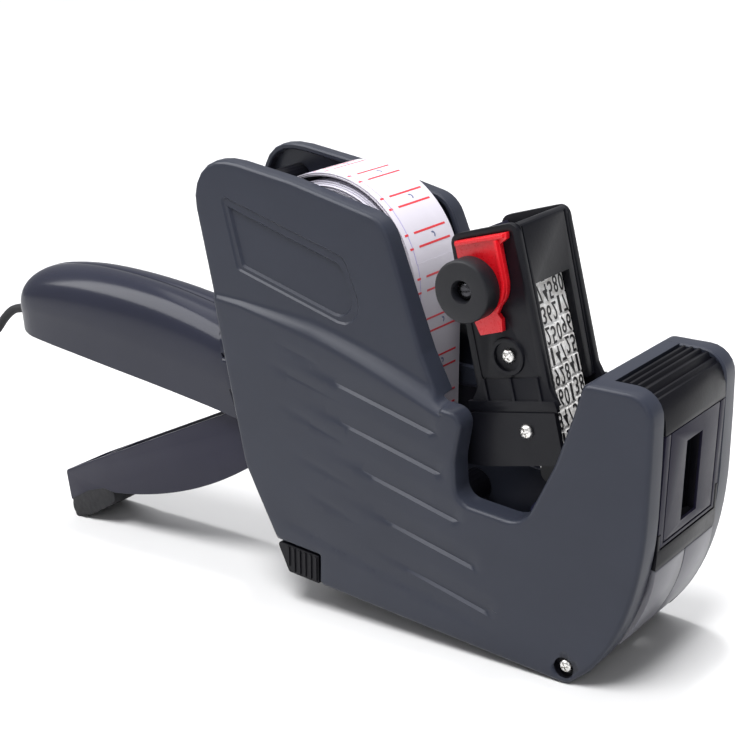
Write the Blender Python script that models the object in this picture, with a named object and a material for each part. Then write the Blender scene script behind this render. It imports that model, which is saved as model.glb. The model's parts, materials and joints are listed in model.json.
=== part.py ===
"""Price labeling gun: a hand tool that prints and lays small paper labels.

Everything is modelled upright in the tool's own axes, in millimetres: +X to the nose, +Z up, the
label roll's axis at x = 0, the middle plane at y = 0 and the body's flat underside at z = 0. The
trigger hangs lower than the underside, so the whole tool is then tipped nose down until it stands on
its nose and its trigger, with the middle of its box over the origin.
"""

import math

import bmesh
import bpy
from mathutils import Matrix, Vector

MM = 0.001
GAP = 0.3  # between pieces that touch
WALL = 1.8  # moulded casing walls
CHEEK_RIM_Y = 12.0  # inner end of the rims beside the label roll
BODY_RIM_Y = 16.2  # inner end of every other rim
FRAME_Y = (14.0, 15.8)  # the inner frame's plates
ARM_Y = (12.0, 13.6)  # the print arm's plates
LEVER_HALF = 9.7
TAPE_HALF = 10.5
ROLL = (0, 89.8)
ROLL_RADIUS = 28.8
CORE_RADIUS = 12.0
TIE_BAR = (-33, 108)
LEVER_PIVOT = (-8, 40)
ARM_PIVOT = (-20, 48)
LINK_PIN = (10, 28)
DOOR_HINGE = (79, 3.2)
GUIDE = (36, 28.6)
FEED = (50, 12.5)
INK_PIVOT = (88, 56)
INK = (71, 37.5)
APPLICATOR = (87.6, 4.9)
TAPE_Z = 23.4  # the flat run of the label tape over the platen
HEAD_ORIGIN = (52.5, 66)  # rear lower corner of the print head's plates
HEAD_LEAN = 15  # degrees that the head leans back
HEAD_HALF = 12.5
KNOB = (6.9, 31.3)  # in the head's own axes
BANDS = 6
BAND_PITCH = 2.2
UPPER_SCREW = (14, 62)
UPPER_SEAT = 20.6  # how far from the middle each case screw's head sits
APPLICATOR_SEAT = 22.4
STRAP = 3.2  # wrist strap's diameter
STRAP_EXIT = 45.6  # height of the hole in the grip's end, in the tool's axes
STRAP_ROUTE = [  # from inside the grip to the floor beside the coil, in world millimetres
    (-119.0, 0.0, 70.0),
    (-126.0, 0.0, 70.7),
    (-131.0, 0.0, 71.3),
    (-136.0, 0.0, 71.3),
    (-141.0, 0.0, 70.0),
    (-146.0, 0.0, 66.9),
    (-150.4, -0.3, 62.9),
    (-156.5, -1.8, 56.8),
    (-162.0, -3.6, 49.5),
    (-166.5, -5.2, 41.0),
    (-170.0, -6.4, 31.5),
    (-172.6, -6.8, 21.5),
    (-175.0, -6.2, 12.0),
    (-178.6, -5.0, 4.9),
    (-184.7, -3.8, 1.9),
]
COIL = (-196.6, -22)
COIL_RADII = (13.8, 20.2)
KNOT = (-187.0, -22, 3.1)


# ---- outlines -----------------------------------------------------------------------------


def bow(start, control, end, steps=6):
    """Points along a curved run from start to end, pulled towards control."""
    parts = [k / steps for k in range(steps + 1)]
    return [
        tuple((1 - t) ** 2 * a + 2 * t * (1 - t) * c + t * t * b for a, c, b in zip(start, control, end))
        for t in parts
    ]


def rounded(corners, steps=3):
    """A closed outline from (x, z) corners, those with a third number rounded to that radius."""
    outline = []
    for i, corner in enumerate(corners):
        here = Vector(corner[:2])
        if len(corner) == 2:
            outline.append(here)
            continue
        back = (Vector(corners[i - 1][:2]) - here).normalized()
        on = (Vector(corners[(i + 1) % len(corners)][:2]) - here).normalized()
        half = back.angle(on) / 2
        centre = here + (back + on).normalized() * corner[2] / math.sin(half)
        first = here + back * corner[2] / math.tan(half) - centre
        last = here + on * corner[2] / math.tan(half) - centre
        start = math.atan2(first.y, first.x)
        sweep = (math.atan2(last.y, last.x) - start + math.pi) % math.tau - math.pi
        angles = [start + sweep * k / steps for k in range(steps + 1)]
        outline += [centre + corner[2] * Vector((math.cos(a), math.sin(a))) for a in angles]
    return outline


def inset(outline, depth):
    """The same outline, smaller by depth all round."""
    points = [Vector(p) for p in outline]
    points = [p for i, p in enumerate(points) if (p - points[i - 1]).length > 0.05]
    area = sum(points[i - 1].cross(p) for i, p in enumerate(points))
    turn = math.copysign(1, area)
    made = []
    for i, here in enumerate(points):
        back = (here - points[i - 1]).normalized()
        on = (points[(i + 1) % len(points)] - here).normalized()
        normals = [turn * Vector((-d.y, d.x)) for d in (back, on)]
        middle = (normals[0] + normals[1]).normalized()
        made.append(here + middle * depth / max(0.4, middle.dot(normals[0])))
    return made


def ring(centre, radius, steps=16, start=0.0, sweep=360.0):
    """Points round a circle or, with a sweep under 360, along an arc with both its ends."""
    count = steps if sweep == 360.0 else steps + 1
    angles = [math.radians(start + sweep * k / steps) for k in range(count)]
    return [(centre[0] + radius * math.cos(a), centre[1] + radius * math.sin(a)) for a in angles]


NOSE_CURVE = bow((94.4, 5.8), (107.3, 23), (107.2, 52))
NOSE_TOP = [(107, 66), (106.4, 84, 7)]
COVER_OUTLINE = rounded(
    [(5.2, 0), (88.6, 0, 3.5), *NOSE_CURVE, *NOSE_TOP, (87.6, 83, 2.5), (85.2, 73.7), (81.1, 59.9, 20)]
    + [(72.8, 40.6, 8), (52.2, 40.9, 4.5), (51.2, 52, 15), (53.4, 65.6, 4), (43.8, 65.9, 3)]
    + [(37.3, 77.5, 8), (23.2, 111, 9), (-9, 116.4, 30), (-29, 118.4, 20), (-49.5, 118.4, 12)]
    + [(-24.2, 29.5, 14), (-11.4, 9.4), (5.2, 9.4)]
)


def half_width(x, z):
    """Half the casing's width at a place on its side: slim cheeks above a step, a full body below."""
    ahead = max(x, 0)
    step_top = 79.3 - 0.15 * ahead - 0.0021 * ahead**2
    step_depth = max(0.6, 4.2 * min(1, (x + 38) / 38))
    rearward = min(1, max(0, (45 - x) / 90))
    cheek = 17 + 0.05 * (118 - z)
    body = 24 - 0.02 * z - 0.045 * max(0, z - 10) * rearward
    share = 1 if x > 46 else min(1, max(0, (step_top - z) / step_depth))
    return cheek + (body - cheek) * share


# ---- making objects -----------------------------------------------------------------------


def clear_scene():
    for o in list(bpy.data.objects):
        bpy.data.objects.remove(o, do_unlink=True)


def material(name, colour, roughness, metallic=0.0):
    made = bpy.data.materials.new(name)
    made.use_nodes = True
    shader = made.node_tree.nodes["Principled BSDF"]
    shader.inputs["Base Color"].default_value = (*colour, 1)
    shader.inputs["Roughness"].default_value = roughness
    shader.inputs["Metallic"].default_value = metallic
    return made


def empty(name, place=(0, 0, 0), turn=0.0, parent=None):
    """A frame of reference at place, in millimetres, turned about Y by some degrees."""
    made = bpy.data.objects.new(name, None)
    bpy.context.collection.objects.link(made)
    made.location = Vector(place) * MM
    made.rotation_euler.y = math.radians(turn)
    made.parent = parent
    return made


def add(name, bm, look, parent):
    """An object from a mesh in millimetres, with its faces pointing out and smooth where it is round."""
    bmesh.ops.recalc_face_normals(bm, faces=bm.faces)
    bm.transform(Matrix.Scale(MM, 4))
    mesh = bpy.data.meshes.new(name)
    bm.to_mesh(mesh)
    bm.free()
    mesh.shade_smooth()
    mesh.set_sharp_from_angle(angle=math.radians(35))
    mesh.materials.append(look)
    made = bpy.data.objects.new(name, mesh)
    bpy.context.collection.objects.link(made)
    made.parent = parent
    return made


def prism_into(bm, outline, y0, y1):
    ends = [[bm.verts.new((p[0], y, p[1])) for p in outline] for y in (y0, y1)]
    for verts in ends:
        bm.faces.new(verts)
    for i in range(len(outline)):
        bm.faces.new((ends[0][i - 1], ends[0][i], ends[1][i], ends[1][i - 1]))


def prism(name, outline, y0, y1, look, parent):
    """An outline in the XZ plane, extruded from y0 to y1."""
    bm = bmesh.new()
    prism_into(bm, outline, y0, y1)
    return add(name, bm, look, parent)


def prisms(name, pieces, look, parent):
    """Several prisms in one mesh, for cutting or joining: pieces are (outline, y0, y1)."""
    bm = bmesh.new()
    for outline, y0, y1 in pieces:
        prism_into(bm, outline, y0, y1)
    return add(name, bm, look, parent)


def box(x0, x1, z0, z1):
    return [(x0, z0), (x1, z0), (x1, z1), (x0, z1)]


def turned(name, profile, centre, look, parent, steps=24, hollow=False):
    """A body of revolution about the Y direction through centre, from (radius, y) points in order.
    A hollow one's profile is a closed loop that keeps clear of the axis."""
    bm = bmesh.new()
    rows = []
    for radius, y in profile:
        row = [bm.verts.new((x, y, z)) for x, z in ring(centre, radius, steps)]
        rows.append(row)
    if not hollow:
        bm.faces.new(rows[0])
        bm.faces.new(rows[-1])
    for k in range(0 if hollow else 1, len(rows)):
        for i in range(steps):
            bm.faces.new((rows[k - 1][i - 1], rows[k - 1][i], rows[k][i], rows[k][i - 1]))
    return add(name, bm, look, parent)


def rod(name, centre, radius, y0, y1, look, parent, steps=16, chamfer=0.4):
    ends = [(radius - chamfer, y0), (radius, y0 + chamfer), (radius, y1 - chamfer), (radius - chamfer, y1)]
    return turned(name, ends, centre, look, parent, steps)


def sleeve(name, centre, inner, outer, y0, y1, look, parent, steps=24):
    return turned(
        name, [(inner, y0), (outer, y0), (outer, y1), (inner, y1)], centre, look, parent, steps, hollow=True
    )


def use(target, tool, operation):
    """Cuts tool out of target, or joins it on, and leaves tool out of the model."""
    step = target.modifiers.new(operation.lower(), "BOOLEAN")
    step.operation = operation
    step.solver = "EXACT"
    step.object = tool
    tool.hide_render = True
    tool.display_type = "WIRE"
    return target


# ---- casing -------------------------------------------------------------------------------


def slab(outline, inner_y, depth, side, bevel=0.0):
    """A solid with a flat end at inner_y(x, z) and an outer face that follows the casing's width less depth."""
    bm = bmesh.new()
    bm.faces.new([bm.verts.new((x, 0, z)) for x, z in outline])
    cuts = [((0, 0, z), (0, 0, 1)) for z in (12, 30, 48, 65, 69, 90, 104)]
    cuts += [((x, 0, 0), (1, 0, 0)) for x in (-20, 0, 22, 46, 66, 78)]
    cuts += [((0, 0, z), (0.14, 0, 1)) for z in (79, 75)]
    for place, normal in cuts:
        geometry = bm.verts[:] + bm.edges[:] + bm.faces[:]
        bmesh.ops.bisect_plane(bm, geom=geometry, plane_co=place, plane_no=normal)
    bmesh.ops.triangulate(bm, faces=bm.faces[:])
    edge = [e for e in bm.edges if e.is_boundary]
    copy = bmesh.ops.duplicate(bm, geom=bm.faces[:])
    low = {v for v in copy["geom"] if isinstance(v, bmesh.types.BMVert)}
    low_edge = [e for e in copy["geom"] if isinstance(e, bmesh.types.BMEdge) and e.is_boundary]
    for v in bm.verts:
        x, z = v.co.x, v.co.z
        v.co.y = side * (inner_y(x, z) if v in low else half_width(x, z) - depth)
    bmesh.ops.bridge_loops(bm, edges=edge + low_edge)
    bmesh.ops.recalc_face_normals(bm, faces=bm.faces)
    if bevel:
        bmesh.ops.bevel(bm, geom=edge, offset=bevel, segments=2, profile=0.5, affect="EDGES")
    return bm


def rim_y(x, z):
    cheek = z > 84 or (z > 67 and -40 < x < 50)
    return CHEEK_RIM_Y if cheek else BODY_RIM_Y


def side_cover(name, side, look, tool):
    """One moulded side: the shell, its share of the bridge behind the nose, and its bosses."""
    cover = add(name, slab(COVER_OUTLINE, rim_y, 0, side, 2.4), look, tool)
    room = add(name + "_room", slab(inset(COVER_OUTLINE, WALL), lambda x, z: 0, WALL, side), look, tool)
    use(cover, room, "DIFFERENCE")
    near = sorted((side * 0.15, side * (BODY_RIM_Y + 2)))
    bridge = [(86.6, 79.6), (93, 80.6), (93, 83.2), (88.4, 82.8), (87.2, 81.5)]
    use(cover, prism(name + "_bridge", bridge, *near, look, tool), "UNION")
    bosses = [(ring(APPLICATOR, 3.9, 14), *sorted((side * 21.0, side * 22.8)))]
    if side > 0:
        bosses.append((ring(UPPER_SCREW, 4.2), 16.1, 20.9))
        bored = counterbore(name + "_bore", UPPER_SCREW, UPPER_SEAT, 1, look, tool)
        holes = [(ring(APPLICATOR, 1.8, 14), 20.5, 23.4)]
    else:
        bored = counterbore(name + "_bore", APPLICATOR, APPLICATOR_SEAT, -1, look, tool)
        holes = []
    holes.append((box(82.4, 98, -2, 9.9), *sorted((0, side * 20.95))))
    use(cover, prisms(name + "_bosses", bosses, look, tool), "UNION")
    use(cover, prisms(name + "_holes", holes, look, tool), "DIFFERENCE")
    return use(cover, bored, "DIFFERENCE")


def counterbore(name, place, seat, side, look, tool):
    """A cutter for a screw's hole and the pocket round its head."""
    profile = [(1.5, side * 15), (1.5, side * seat), (2.8, side * seat), (2.8, side * 30)]
    return turned(name, profile, place, look, tool, 18)


# ---- inner frame with the handle -----------------------------------------------------------

HANDLE_STATIONS = [  # x, top, lower edge, half-width
    (-143.2, 54.0, 47.0, 3.0),
    (-141.6, 59.5, 43.5, 8.6),
    (-137.0, 64.0, 41.8, 11.0),
    (-128.0, 67.6, 41.4, 12.0),
    (-112.0, 70.2, 40.8, 12.3),
    (-94.0, 71.0, 40.0, 12.3),
    (-74.0, 70.0, 39.2, 12.3),
    (-56.0, 67.8, 38.4, 12.6),
    (-44.0, 65.8, 37.8, 13.6),
    (-37.0, 64.4, 37.4, 15.3),
    (-31.0, 63.4, 38.0, 15.8),
    (-26.5, 62.8, 39.4, 15.8),
]
FRAME_OUTLINE = rounded(
    [(-20.5, 27), (-9.5, 12.5), (8, 12.5), (8, 5.5), (81, 5.5), (83, 11), (94, 11.4), (100.2, 21), (103.9, 36)]
    + [(104.6, 52), (104.3, 66), (103.4, 80.6, 5), (90.4, 79.9), (87.8, 72.5), (83.9, 59.4), (78.9, 47.4)]
    + [(74.4, 37.6, 5), (50, 37.6, 3), (48, 62.5, 3), (-31.5, 62.5)]
)


def handle_half(stations, side, open_below=False):
    """Half of the grip as a solid, from its sections; one that is open below serves to hollow it."""
    bm = bmesh.new()
    rows = []
    points = 8
    for x, top, low, half in stations:
        middle = (top + low) / 2
        row = [(x, side * 0.15 if not open_below else -side, top)]
        for k in range(1, points + 1):
            t = math.radians(90 - 106 * k / points)
            bulge = max(math.cos(t), 0) ** 0.75
            height = math.copysign(abs(math.sin(t)) ** 0.8, math.sin(t))
            row.append((x, side * max(0.4, half * bulge), middle + (top - middle) * height))
        foot = low - 12 if open_below else low
        row += [(x, side * half * 0.93, foot), (x, row[0][1], foot)]
        rows.append([bm.verts.new(p) for p in row])
    for back, front in zip(rows, rows[1:]):
        for i in range(len(back)):
            bm.faces.new((back[i - 1], back[i], front[i], front[i - 1]))
    bm.faces.new(rows[0])
    bm.faces.new(rows[-1])
    bmesh.ops.triangulate(bm, faces=bm.faces[:])
    return bm


def frame_half(name, side, look, tool):
    """One moulding: half of the grip, the plate that carries the pivots, half of the lower nose."""
    half = add(name, handle_half(HANDLE_STATIONS, side), look, tool)
    room = [(x, top - WALL, low, width - WALL) for x, top, low, width in HANDLE_STATIONS[2:-1]]
    first, last = room[0], HANDLE_STATIONS[-1]
    room = [(-139.2, first[1] - 1, first[2] + 6, first[3] - 1), *room]
    room.append((last[0] + 3, last[1] - WALL, last[2], last[3] - WALL))
    use(half, add(name + "_room", handle_half(room, side, True), look, tool), "DIFFERENCE")
    plate = sorted(side * y for y in FRAME_Y)
    use(half, prism(name + "_plate", FRAME_OUTLINE, *plate, look, tool), "UNION")
    outside = bow((94.4, 5.8), (106.9, 22), (107.1, 35.9))
    inside = [(93.9, 6.9), (95.4, 11.5)] + [(x - 3.4, z + 0.6) for x, z in outside[2:]]
    nose = sorted((side * 0.15, side * FRAME_Y[1]))
    use(half, prism(name + "_nose", outside + inside[::-1], *nose, look, tool), "UNION")
    holes = [(ring(LEVER_PIVOT, 2.8), *plate), (ring(ARM_PIVOT, 2.8), *plate)]
    holes += [(ring(GUIDE, 1.8), *plate), (ring(FEED, 1.8), *plate), (ring(INK_PIVOT, 1.8), *plate)]
    holes.append((ring(UPPER_SCREW, 1.5), *plate))
    holes = [(outline, y0 - 1, y1 + 1) for outline, y0, y1 in holes]
    holes.append((box(-146, -134, STRAP_EXIT - 2, STRAP_EXIT + 2), -2.0, 2.0))
    return use(half, prisms(name + "_holes", holes, look, tool), "DIFFERENCE")


# ---- nose, underside and roll --------------------------------------------------------------


def front_cover(look, tool):
    """The black nose cover: a bent strip with ridges on top and an opening for the window panel."""
    ridges = []
    for x, z in ((94.8, 83.35), (97.0, 83.45), (99.0, 83.5), (101.0, 83.1), (103.0, 82.1)):
        ridges += [(x + 0.5, z - 0.6), (x + 0.4, z), (x - 0.4, z), (x - 0.5, z - 0.6)]
    outside = [(107.05, 36.3), (107.2, 52), (107.05, 66), (106.7, 75.5), (105.6, 79.3)]
    top = sorted(ridges, key=lambda p: -p[0])
    inside = [(93.4, 82.6), (93.4, 80.9), (101.2, 80.9), (104.6, 76.4), (104.95, 66), (105.1, 36.3)]
    cover = prism("front_cover", outside + top + inside, -15.8, 15.8, look, tool)
    bm = bmesh.new()
    prism_into(bm, box(100, 112, 41.4, 72.4), -13.4, 13.4)
    return use(cover, add("front_cover_opening", bm, look, tool), "DIFFERENCE")


def window_panel(look, tool):
    """The satin panel in the nose, with the slot that shows the label below."""
    panel = prism("window_panel", box(105.2, 107.0, 41.7, 72.1), -13.1, 13.1, look, tool)
    return use(panel, prism("window_slot", box(100, 112, 45.5, 67.2), -4.2, 4.2, look, tool), "DIFFERENCE")


def bottom_door(look, tool):
    """The door under the tape path, and the ribbed catch at its rear that closes it."""
    door = rounded([(-4, 0.3), (80.7, 0.3), (80.7, 2.2), (-4, 2.2)])
    prism("bottom_cover", door, -15.8, 15.8, look, tool)
    outline = rounded([(4.9, 0.2), (4.9, 9.1), (-11.1, 9.1, 1), (-6.6, 0.2, 1)])
    catch = prism("bottom_catch", outline, -23.7, 23.7, look, tool)
    hollow = [(6, -1), (6, 10), (-8.7, 10), (-4.6, 2.0), (-4.6, -1)]
    use(catch, prism("bottom_catch_hollow", hollow, -21.6, 21.6, look, tool), "DIFFERENCE")
    ribs = []
    for k in range(6):
        x = -7 + 2.1 * k
        low = max(0.8, 2.2 - 2 * (x + 7))
        ribs += [(box(x, x + 0.9, low, 8.6), side * 23.35, side * 24.1) for side in (-1, 1)]
    return use(catch, prisms("bottom_catch_ribs", ribs, look, tool), "UNION")


def reel(looks, tool):
    """The label roll on its paper core, gripped by two hubs that turn on one axle."""
    black, card, paper, steel = looks
    turned("label_roll", roll_profile(), ROLL, paper, tool, steps=56, hollow=True)
    sleeve("label_core", ROLL, 10.0, CORE_RADIUS - GAP, -10.3, 10.3, card, tool)
    for name, side in (("right_reel_hub", -1), ("left_reel_hub", 1)):
        hub = [(3.3, 1.0), (9.7, 1.0), (9.7, 12.0), (12.8, 12.0), (12.8, 13.4), (3.3, 13.4)]
        turned(name, [(r, side * y) for r, y in hub], ROLL, black, tool, hollow=True)
    rod("reel_axle", ROLL, 3.0, -15.9, 15.9, steel, tool)
    rod("tie_bar", TIE_BAR, 4.0, -15.3, 15.3, black, tool, steps=20)


def roll_profile():
    """The roll's section: the wound part sits a little further to the right than its outer turns."""
    wound = ROLL_RADIUS - 3.2
    left = [(CORE_RADIUS, TAPE_HALF), (CORE_RADIUS, -TAPE_HALF - 1.2), (wound, -TAPE_HALF - 1.2)]
    return left + [(wound, -TAPE_HALF), (ROLL_RADIUS, -TAPE_HALF), (ROLL_RADIUS, TAPE_HALF)]


def label_tape(look, tool):
    """The tape from the roll down to the guide, forward over the platen, and its liner coming back."""
    thick = 0.25
    turn = 5.0 + GAP
    away = ROLL_RADIUS + GAP
    peel = (85.5, TAPE_Z - 1.9)
    outer = [(away + thick, ROLL[1]), (GUIDE[0] - turn, GUIDE[1] + 1)]
    outer += ring(GUIDE, turn, 6, 180, 90) + ring(peel, 1.9, 6, 90, -180)
    outer += [(56, peel[1] - 1.9)]
    inner = [(56, peel[1] - 1.9 + thick)] + ring(peel, 1.9 - thick, 6, -90, 180)
    inner += ring(GUIDE, turn + thick, 6, 270, -90) + [(GUIDE[0] - turn - thick, GUIDE[1] + 1)]
    return prism("label_tape", outer + inner + [(away, ROLL[1])], -TAPE_HALF, TAPE_HALF, look, tool)


# ---- print head ----------------------------------------------------------------------------


def head_plates(look, head):
    """The head's two side plates, with a foot that widens over the carrier and three stiffening ribs."""
    outline = rounded([(-4.2, -1.0), (23.2, -1.6), (21, 3.2), (21, 46, 2.5), (0.2, 44.6, 2.5), (0, 3.2)])
    for name, side in (("head_right_plate", -1), ("head_left_plate", 1)):
        ends = sorted((side * 10.7, side * HEAD_HALF))
        plate = prism(name, outline, *ends, look, head)
        cut = [(ring(KNOB, 3.4), ends[0] - 1, ends[1] + 1)]
        if side < 0:
            cut.append((ring((10.8, 12.0), 1.5), ends[0] - 1, ends[1] + 1))
        use(plate, prisms(name + "_holes", cut, look, head), "DIFFERENCE")


def head_front(look, head):
    """The channel between the plates: the front wall with its window, and the sloping rear plate."""
    front = prism("head_front", rounded([(18.9, 0.5), (21, 0.5), (21, 46, 1.5), (18.9, 45.5)]), -10.4, 10.4, look, head)
    window = prism("head_window", box(17, 23, -2, 29.6), -6.9, 6.9, look, head)
    use(front, window, "DIFFERENCE")
    prism("head_rear", [(-0.3, 6), (1.3, 6), (3.7, 41), (2.1, 43.6)], -10.4, 10.4, look, head)


def bands(looks, head):
    """Six printing bands side by side, each over its own wheel above and the printing foot below."""
    black, white = looks
    top, low = 3.3, 3.3
    upper, lower = (14.4, 28.6), (16.0, -19.9)
    for k in range(BANDS):
        y = (k - (BANDS - 1) / 2) * BAND_PITCH
        ends = (y - 0.95, y + 0.95)
        inner, outer = belt(upper, lower, top, low), belt(upper, lower, top + 0.9, low + 0.9)
        band = prism(f"number_band_{k + 1}", outer, *ends, white, head)
        use(band, prism(f"number_band_{k + 1}_inside", inner, y - 2, y + 2, white, head), "DIFFERENCE")
        sleeve(f"band_wheel_{k + 1}", upper, 1.5, top - GAP, *ends, black, head, steps=16)
    rod("band_shaft", upper, 1.2, -10.4, 10.4, black, head, steps=10)
    foot = ring(lower, low - GAP, 16)
    prism("band_foot", foot, -11.0, 11.0, black, head)


def belt(upper, lower, top, low):
    """The outline of a belt round two circles."""
    across = Vector(upper) - Vector(lower)
    lean = math.degrees(math.atan2(across.y, across.x)) - 90
    open_angle = math.degrees(math.asin((top - low) / across.length))
    above = ring(upper, top, 12, lean - open_angle, 180 + 2 * open_angle)
    below = ring(lower, low, 8, lean + 180 + open_angle, 180 - 2 * open_angle)
    return above + below


def selector(looks, head):
    """The knob that turns one band at a time, on a shaft that pulls out to reach each of them."""
    dark, black, red, steel = looks
    knob = [(2.8, -18.6), (2.8, -21.5), (7.7, -21.5), (8.15, -21.0), (8.15, -16.0), (7.7, -15.6), (2.8, -15.6)]
    turned("selector_knob", knob, KNOB, dark, head, steps=32, hollow=True)
    rod("selector_shaft", KNOB, 2.4, -20.0, 9.5, steel, head)
    sleeve("shaft_collar", KNOB, 2.7, 3.5, 3.1, 4.5, black, head, steps=16)  # stops the pull at the plate
    arc = ring(KNOB, 9.0, 10, 62, -112)
    outline = [(-0.4, 42.2), (-0.3, 36.9)] + [(1.5, 36.9)] + bow((1.5, 36.9), (6.2, 41.4), arc[0])[1:-1] + arc
    outline += [(6.9 + 2.3, 16.9), (6.9 + 6.6, 16.9), (15.3, 21.5), (14.2, 24.5), (17.2, 30.2), (16.6, 36.8)]
    outline += [(14.2, 40.6), (15.6, 41.8), (15.6, 44.0), (0.6, 43.2)]
    prism("shaft_retainer", outline, -HEAD_HALF - 1.3, -HEAD_HALF - GAP, red, head)


def screw(name, centre, y_head, side, look, parent, length=7.0):
    """A pan-head screw driven in along Y from the given side."""
    profile = [(1.3, 1.3), (1.9, 0.9), (2.0, 0.0), (1.2, 0.0), (1.2, -length), (0.5, -length - 0.8)]
    points = [(r, y_head + side * y) for r, y in profile]
    return turned(name, points, centre, look, parent, steps=12)


# ---- arm and lever ---------------------------------------------------------------------------


def in_head(u, w):
    """A place in the head's own axes, in the tool's."""
    a = math.radians(HEAD_LEAN)
    return (
        HEAD_ORIGIN[0] + u * math.cos(a) - w * math.sin(a),
        HEAD_ORIGIN[1] + u * math.sin(a) + w * math.cos(a),
    )


def print_arm(look, tool):
    """The arm that carries the head: two plates, a pivot barrel, and cross walls behind the bands."""
    outline = rounded(
        [(-25.4, 44.5, 3), (-25.2, 54.4, 3), (18, 56, 20), (44, 59), in_head(-2.3, -2.4), in_head(22.6, -2.9)]
        + [in_head(22.6, -16.8), in_head(-2.0, -17.4), (50, 48, 4), (20, 40, 6), (16, 22.4, 4), (4.6, 22.4, 4)]
        + [(2, 43, 4), (-4, 46.9, 3), (-18, 42.6, 3)]
    )
    arm = prism("print_arm", outline, -ARM_Y[1], ARM_Y[1], look, tool)
    use(arm, prism("print_arm_inside", box(-40, 95, 10, 90), -ARM_Y[0], ARM_Y[0], look, tool), "DIFFERENCE")
    walls = [(ring(ARM_PIVOT, 4.6), -ARM_Y[0] - 0.5, ARM_Y[0] + 0.5)]
    walls.append(([in_head(-2.0, -4), in_head(0.2, -4), in_head(0.2, -17), in_head(-2.0, -17)], -12.5, 12.5))
    use(arm, prisms("print_arm_walls", walls, look, tool), "UNION")
    bores = [(ring(ARM_PIVOT, 2.8), -20, 20), (ring(LINK_PIN, 3.0), -20, 20)]
    bores.append((ring(in_head(13.3, -7.7), 1.5), -20, -5))
    return use(arm, prisms("print_arm_bores", bores, look, tool), "DIFFERENCE")


def trigger_lever(look, tool):
    """The trigger: a channel open at the top, whose two cheeks run on inside to the link pin."""
    tail = [(-123.8, -6.2, 1.5), (-120.4, -23.9, 2.2), (-111.3, -19.7, 3), (-99.0, -11.5, 2), (-98.8, -7.6)]
    belly = bow((-98.8, -7.6), (-62, 0.5), (-34.5, 21.0), 7)[1:]
    front = [(-22, 28.4), (-6, 31), (6, 22.6), (14.4, 22.8, 3), (15, 31.5, 3), (2, 39), (-3, 46.4, 4)]
    top = [(-13, 46.4, 4), (-17, 37.4, 2), (-29, 36.9, 3), (-37.5, 39.9, 3)]
    outline = rounded(tail + belly + front + top)
    lever = prism("trigger_lever", outline, -LEVER_HALF, LEVER_HALF, look, tool)
    floor = [(x + 0.4, z + 2.2) for x, z in belly]
    inside = [(-121.8, -2.5), (-121.3, -8), (-101, -5.6), (-98, -4.8), *floor, (-30, 26.5), (-26, 18), (40, 10)]
    inside += [(40, 60), (-40, 60)]
    use(lever, prism("trigger_inside", inside, -7.9, 7.9, look, tool), "DIFFERENCE")
    bores = [(ring(LEVER_PIVOT, 2.8), -20, 20), (ring(LINK_PIN, 2.3), -20, 20)]
    return use(lever, prisms("trigger_bores", bores, look, tool), "DIFFERENCE")


def return_spring(look, tool):
    """The trigger's torsion spring, wound round its pivot pin."""
    turns, steps, mean = 4, 14, 4.2
    points = []
    for k in range(turns * steps + 1):
        a = math.tau * k / steps
        x = LEVER_PIVOT[0] + mean * math.cos(a)
        points.append((x, -3.4 + 1.7 * k / steps, LEVER_PIVOT[1] + mean * math.sin(a)))
    tube("return_spring", points, 0.6, look, tool)


# ---- tape drive, ink and applicator -----------------------------------------------------------


def feed_wheel(look, tool):
    """The toothed wheel that pulls the liner."""
    teeth = 12
    outline = []
    for k in range(teeth):
        a = math.tau * k / teeth
        for turn, radius in ((-0.16, 5.6), (-0.07, 6.6), (0.07, 6.6), (0.16, 5.6)):
            outline.append((FEED[0] + radius * math.cos(a + turn), FEED[1] + radius * math.sin(a + turn)))
    wheel = prism("feed_wheel", outline, -8, 8, look, tool)
    return use(wheel, prism("feed_wheel_stubs", ring(FEED, 1.5), -15.4, 15.4, look, tool), "UNION")


def tape_drive(looks, tool):
    black, steel = looks
    feed_wheel(black, tool)
    sleeve("guide_roller", GUIDE, 1.8, 5.0, -11.2, 11.2, black, tool, steps=20)
    rod("guide_axle", GUIDE, 1.5, -15.4, 15.4, steel, tool, steps=12)
    platen = [(54, TAPE_Z - 0.55), (79, TAPE_Z - 0.55), (79, TAPE_Z - 2.2), (54, TAPE_Z - 2.2)]
    prism("platen", platen, -13.7, 13.7, black, tool)
    peel = ring((85.5, TAPE_Z - 1.9), 1.3, 10)
    prism("peel_bar", peel, -13.7, 13.7, steel, tool)


def ink_unit(looks, tool):
    """The ink roller in a swinging fork that clears the head's way as the head comes down."""
    black, felt, steel = looks
    reach = Vector(INK) - Vector(INK_PIVOT)
    along = reach.normalized()
    side = Vector((-along.y, along.x))
    corners = []
    for where, width in ((-0.14, 3.4), (1.1, 2.8)):
        for sign in (-1, 1) if where < 0 else (1, -1):
            p = Vector(INK_PIVOT) + reach * where + side * width * sign
            corners.append((p.x, p.y, 2.2))
    holder = prism("ink_holder", rounded(corners), -11.4, 11.4, black, tool)
    room = [Vector(INK_PIVOT) + reach * s + side * t for s, t in ((0.42, -9), (1.4, -9), (1.4, 9), (0.42, 9))]
    use(holder, prism("ink_holder_room", [tuple(p) for p in room], -9.9, 9.9, black, tool), "DIFFERENCE")
    bores = [(ring(INK_PIVOT, 1.8), -20, 20), (ring(INK, 1.3), -20, 20)]
    use(holder, prisms("ink_holder_bores", bores, black, tool), "DIFFERENCE")
    roller = [(1.0, -11.3), (1.0, -9.5), (4.2, -9.5), (4.2, 9.5), (1.0, 9.5), (1.0, 11.3)]
    turned("ink_roller", roller, INK, felt, tool, steps=20)
    rod("ink_pivot_pin", INK_PIVOT, 1.5, -15.4, 15.4, steel, tool, steps=12)


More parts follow.
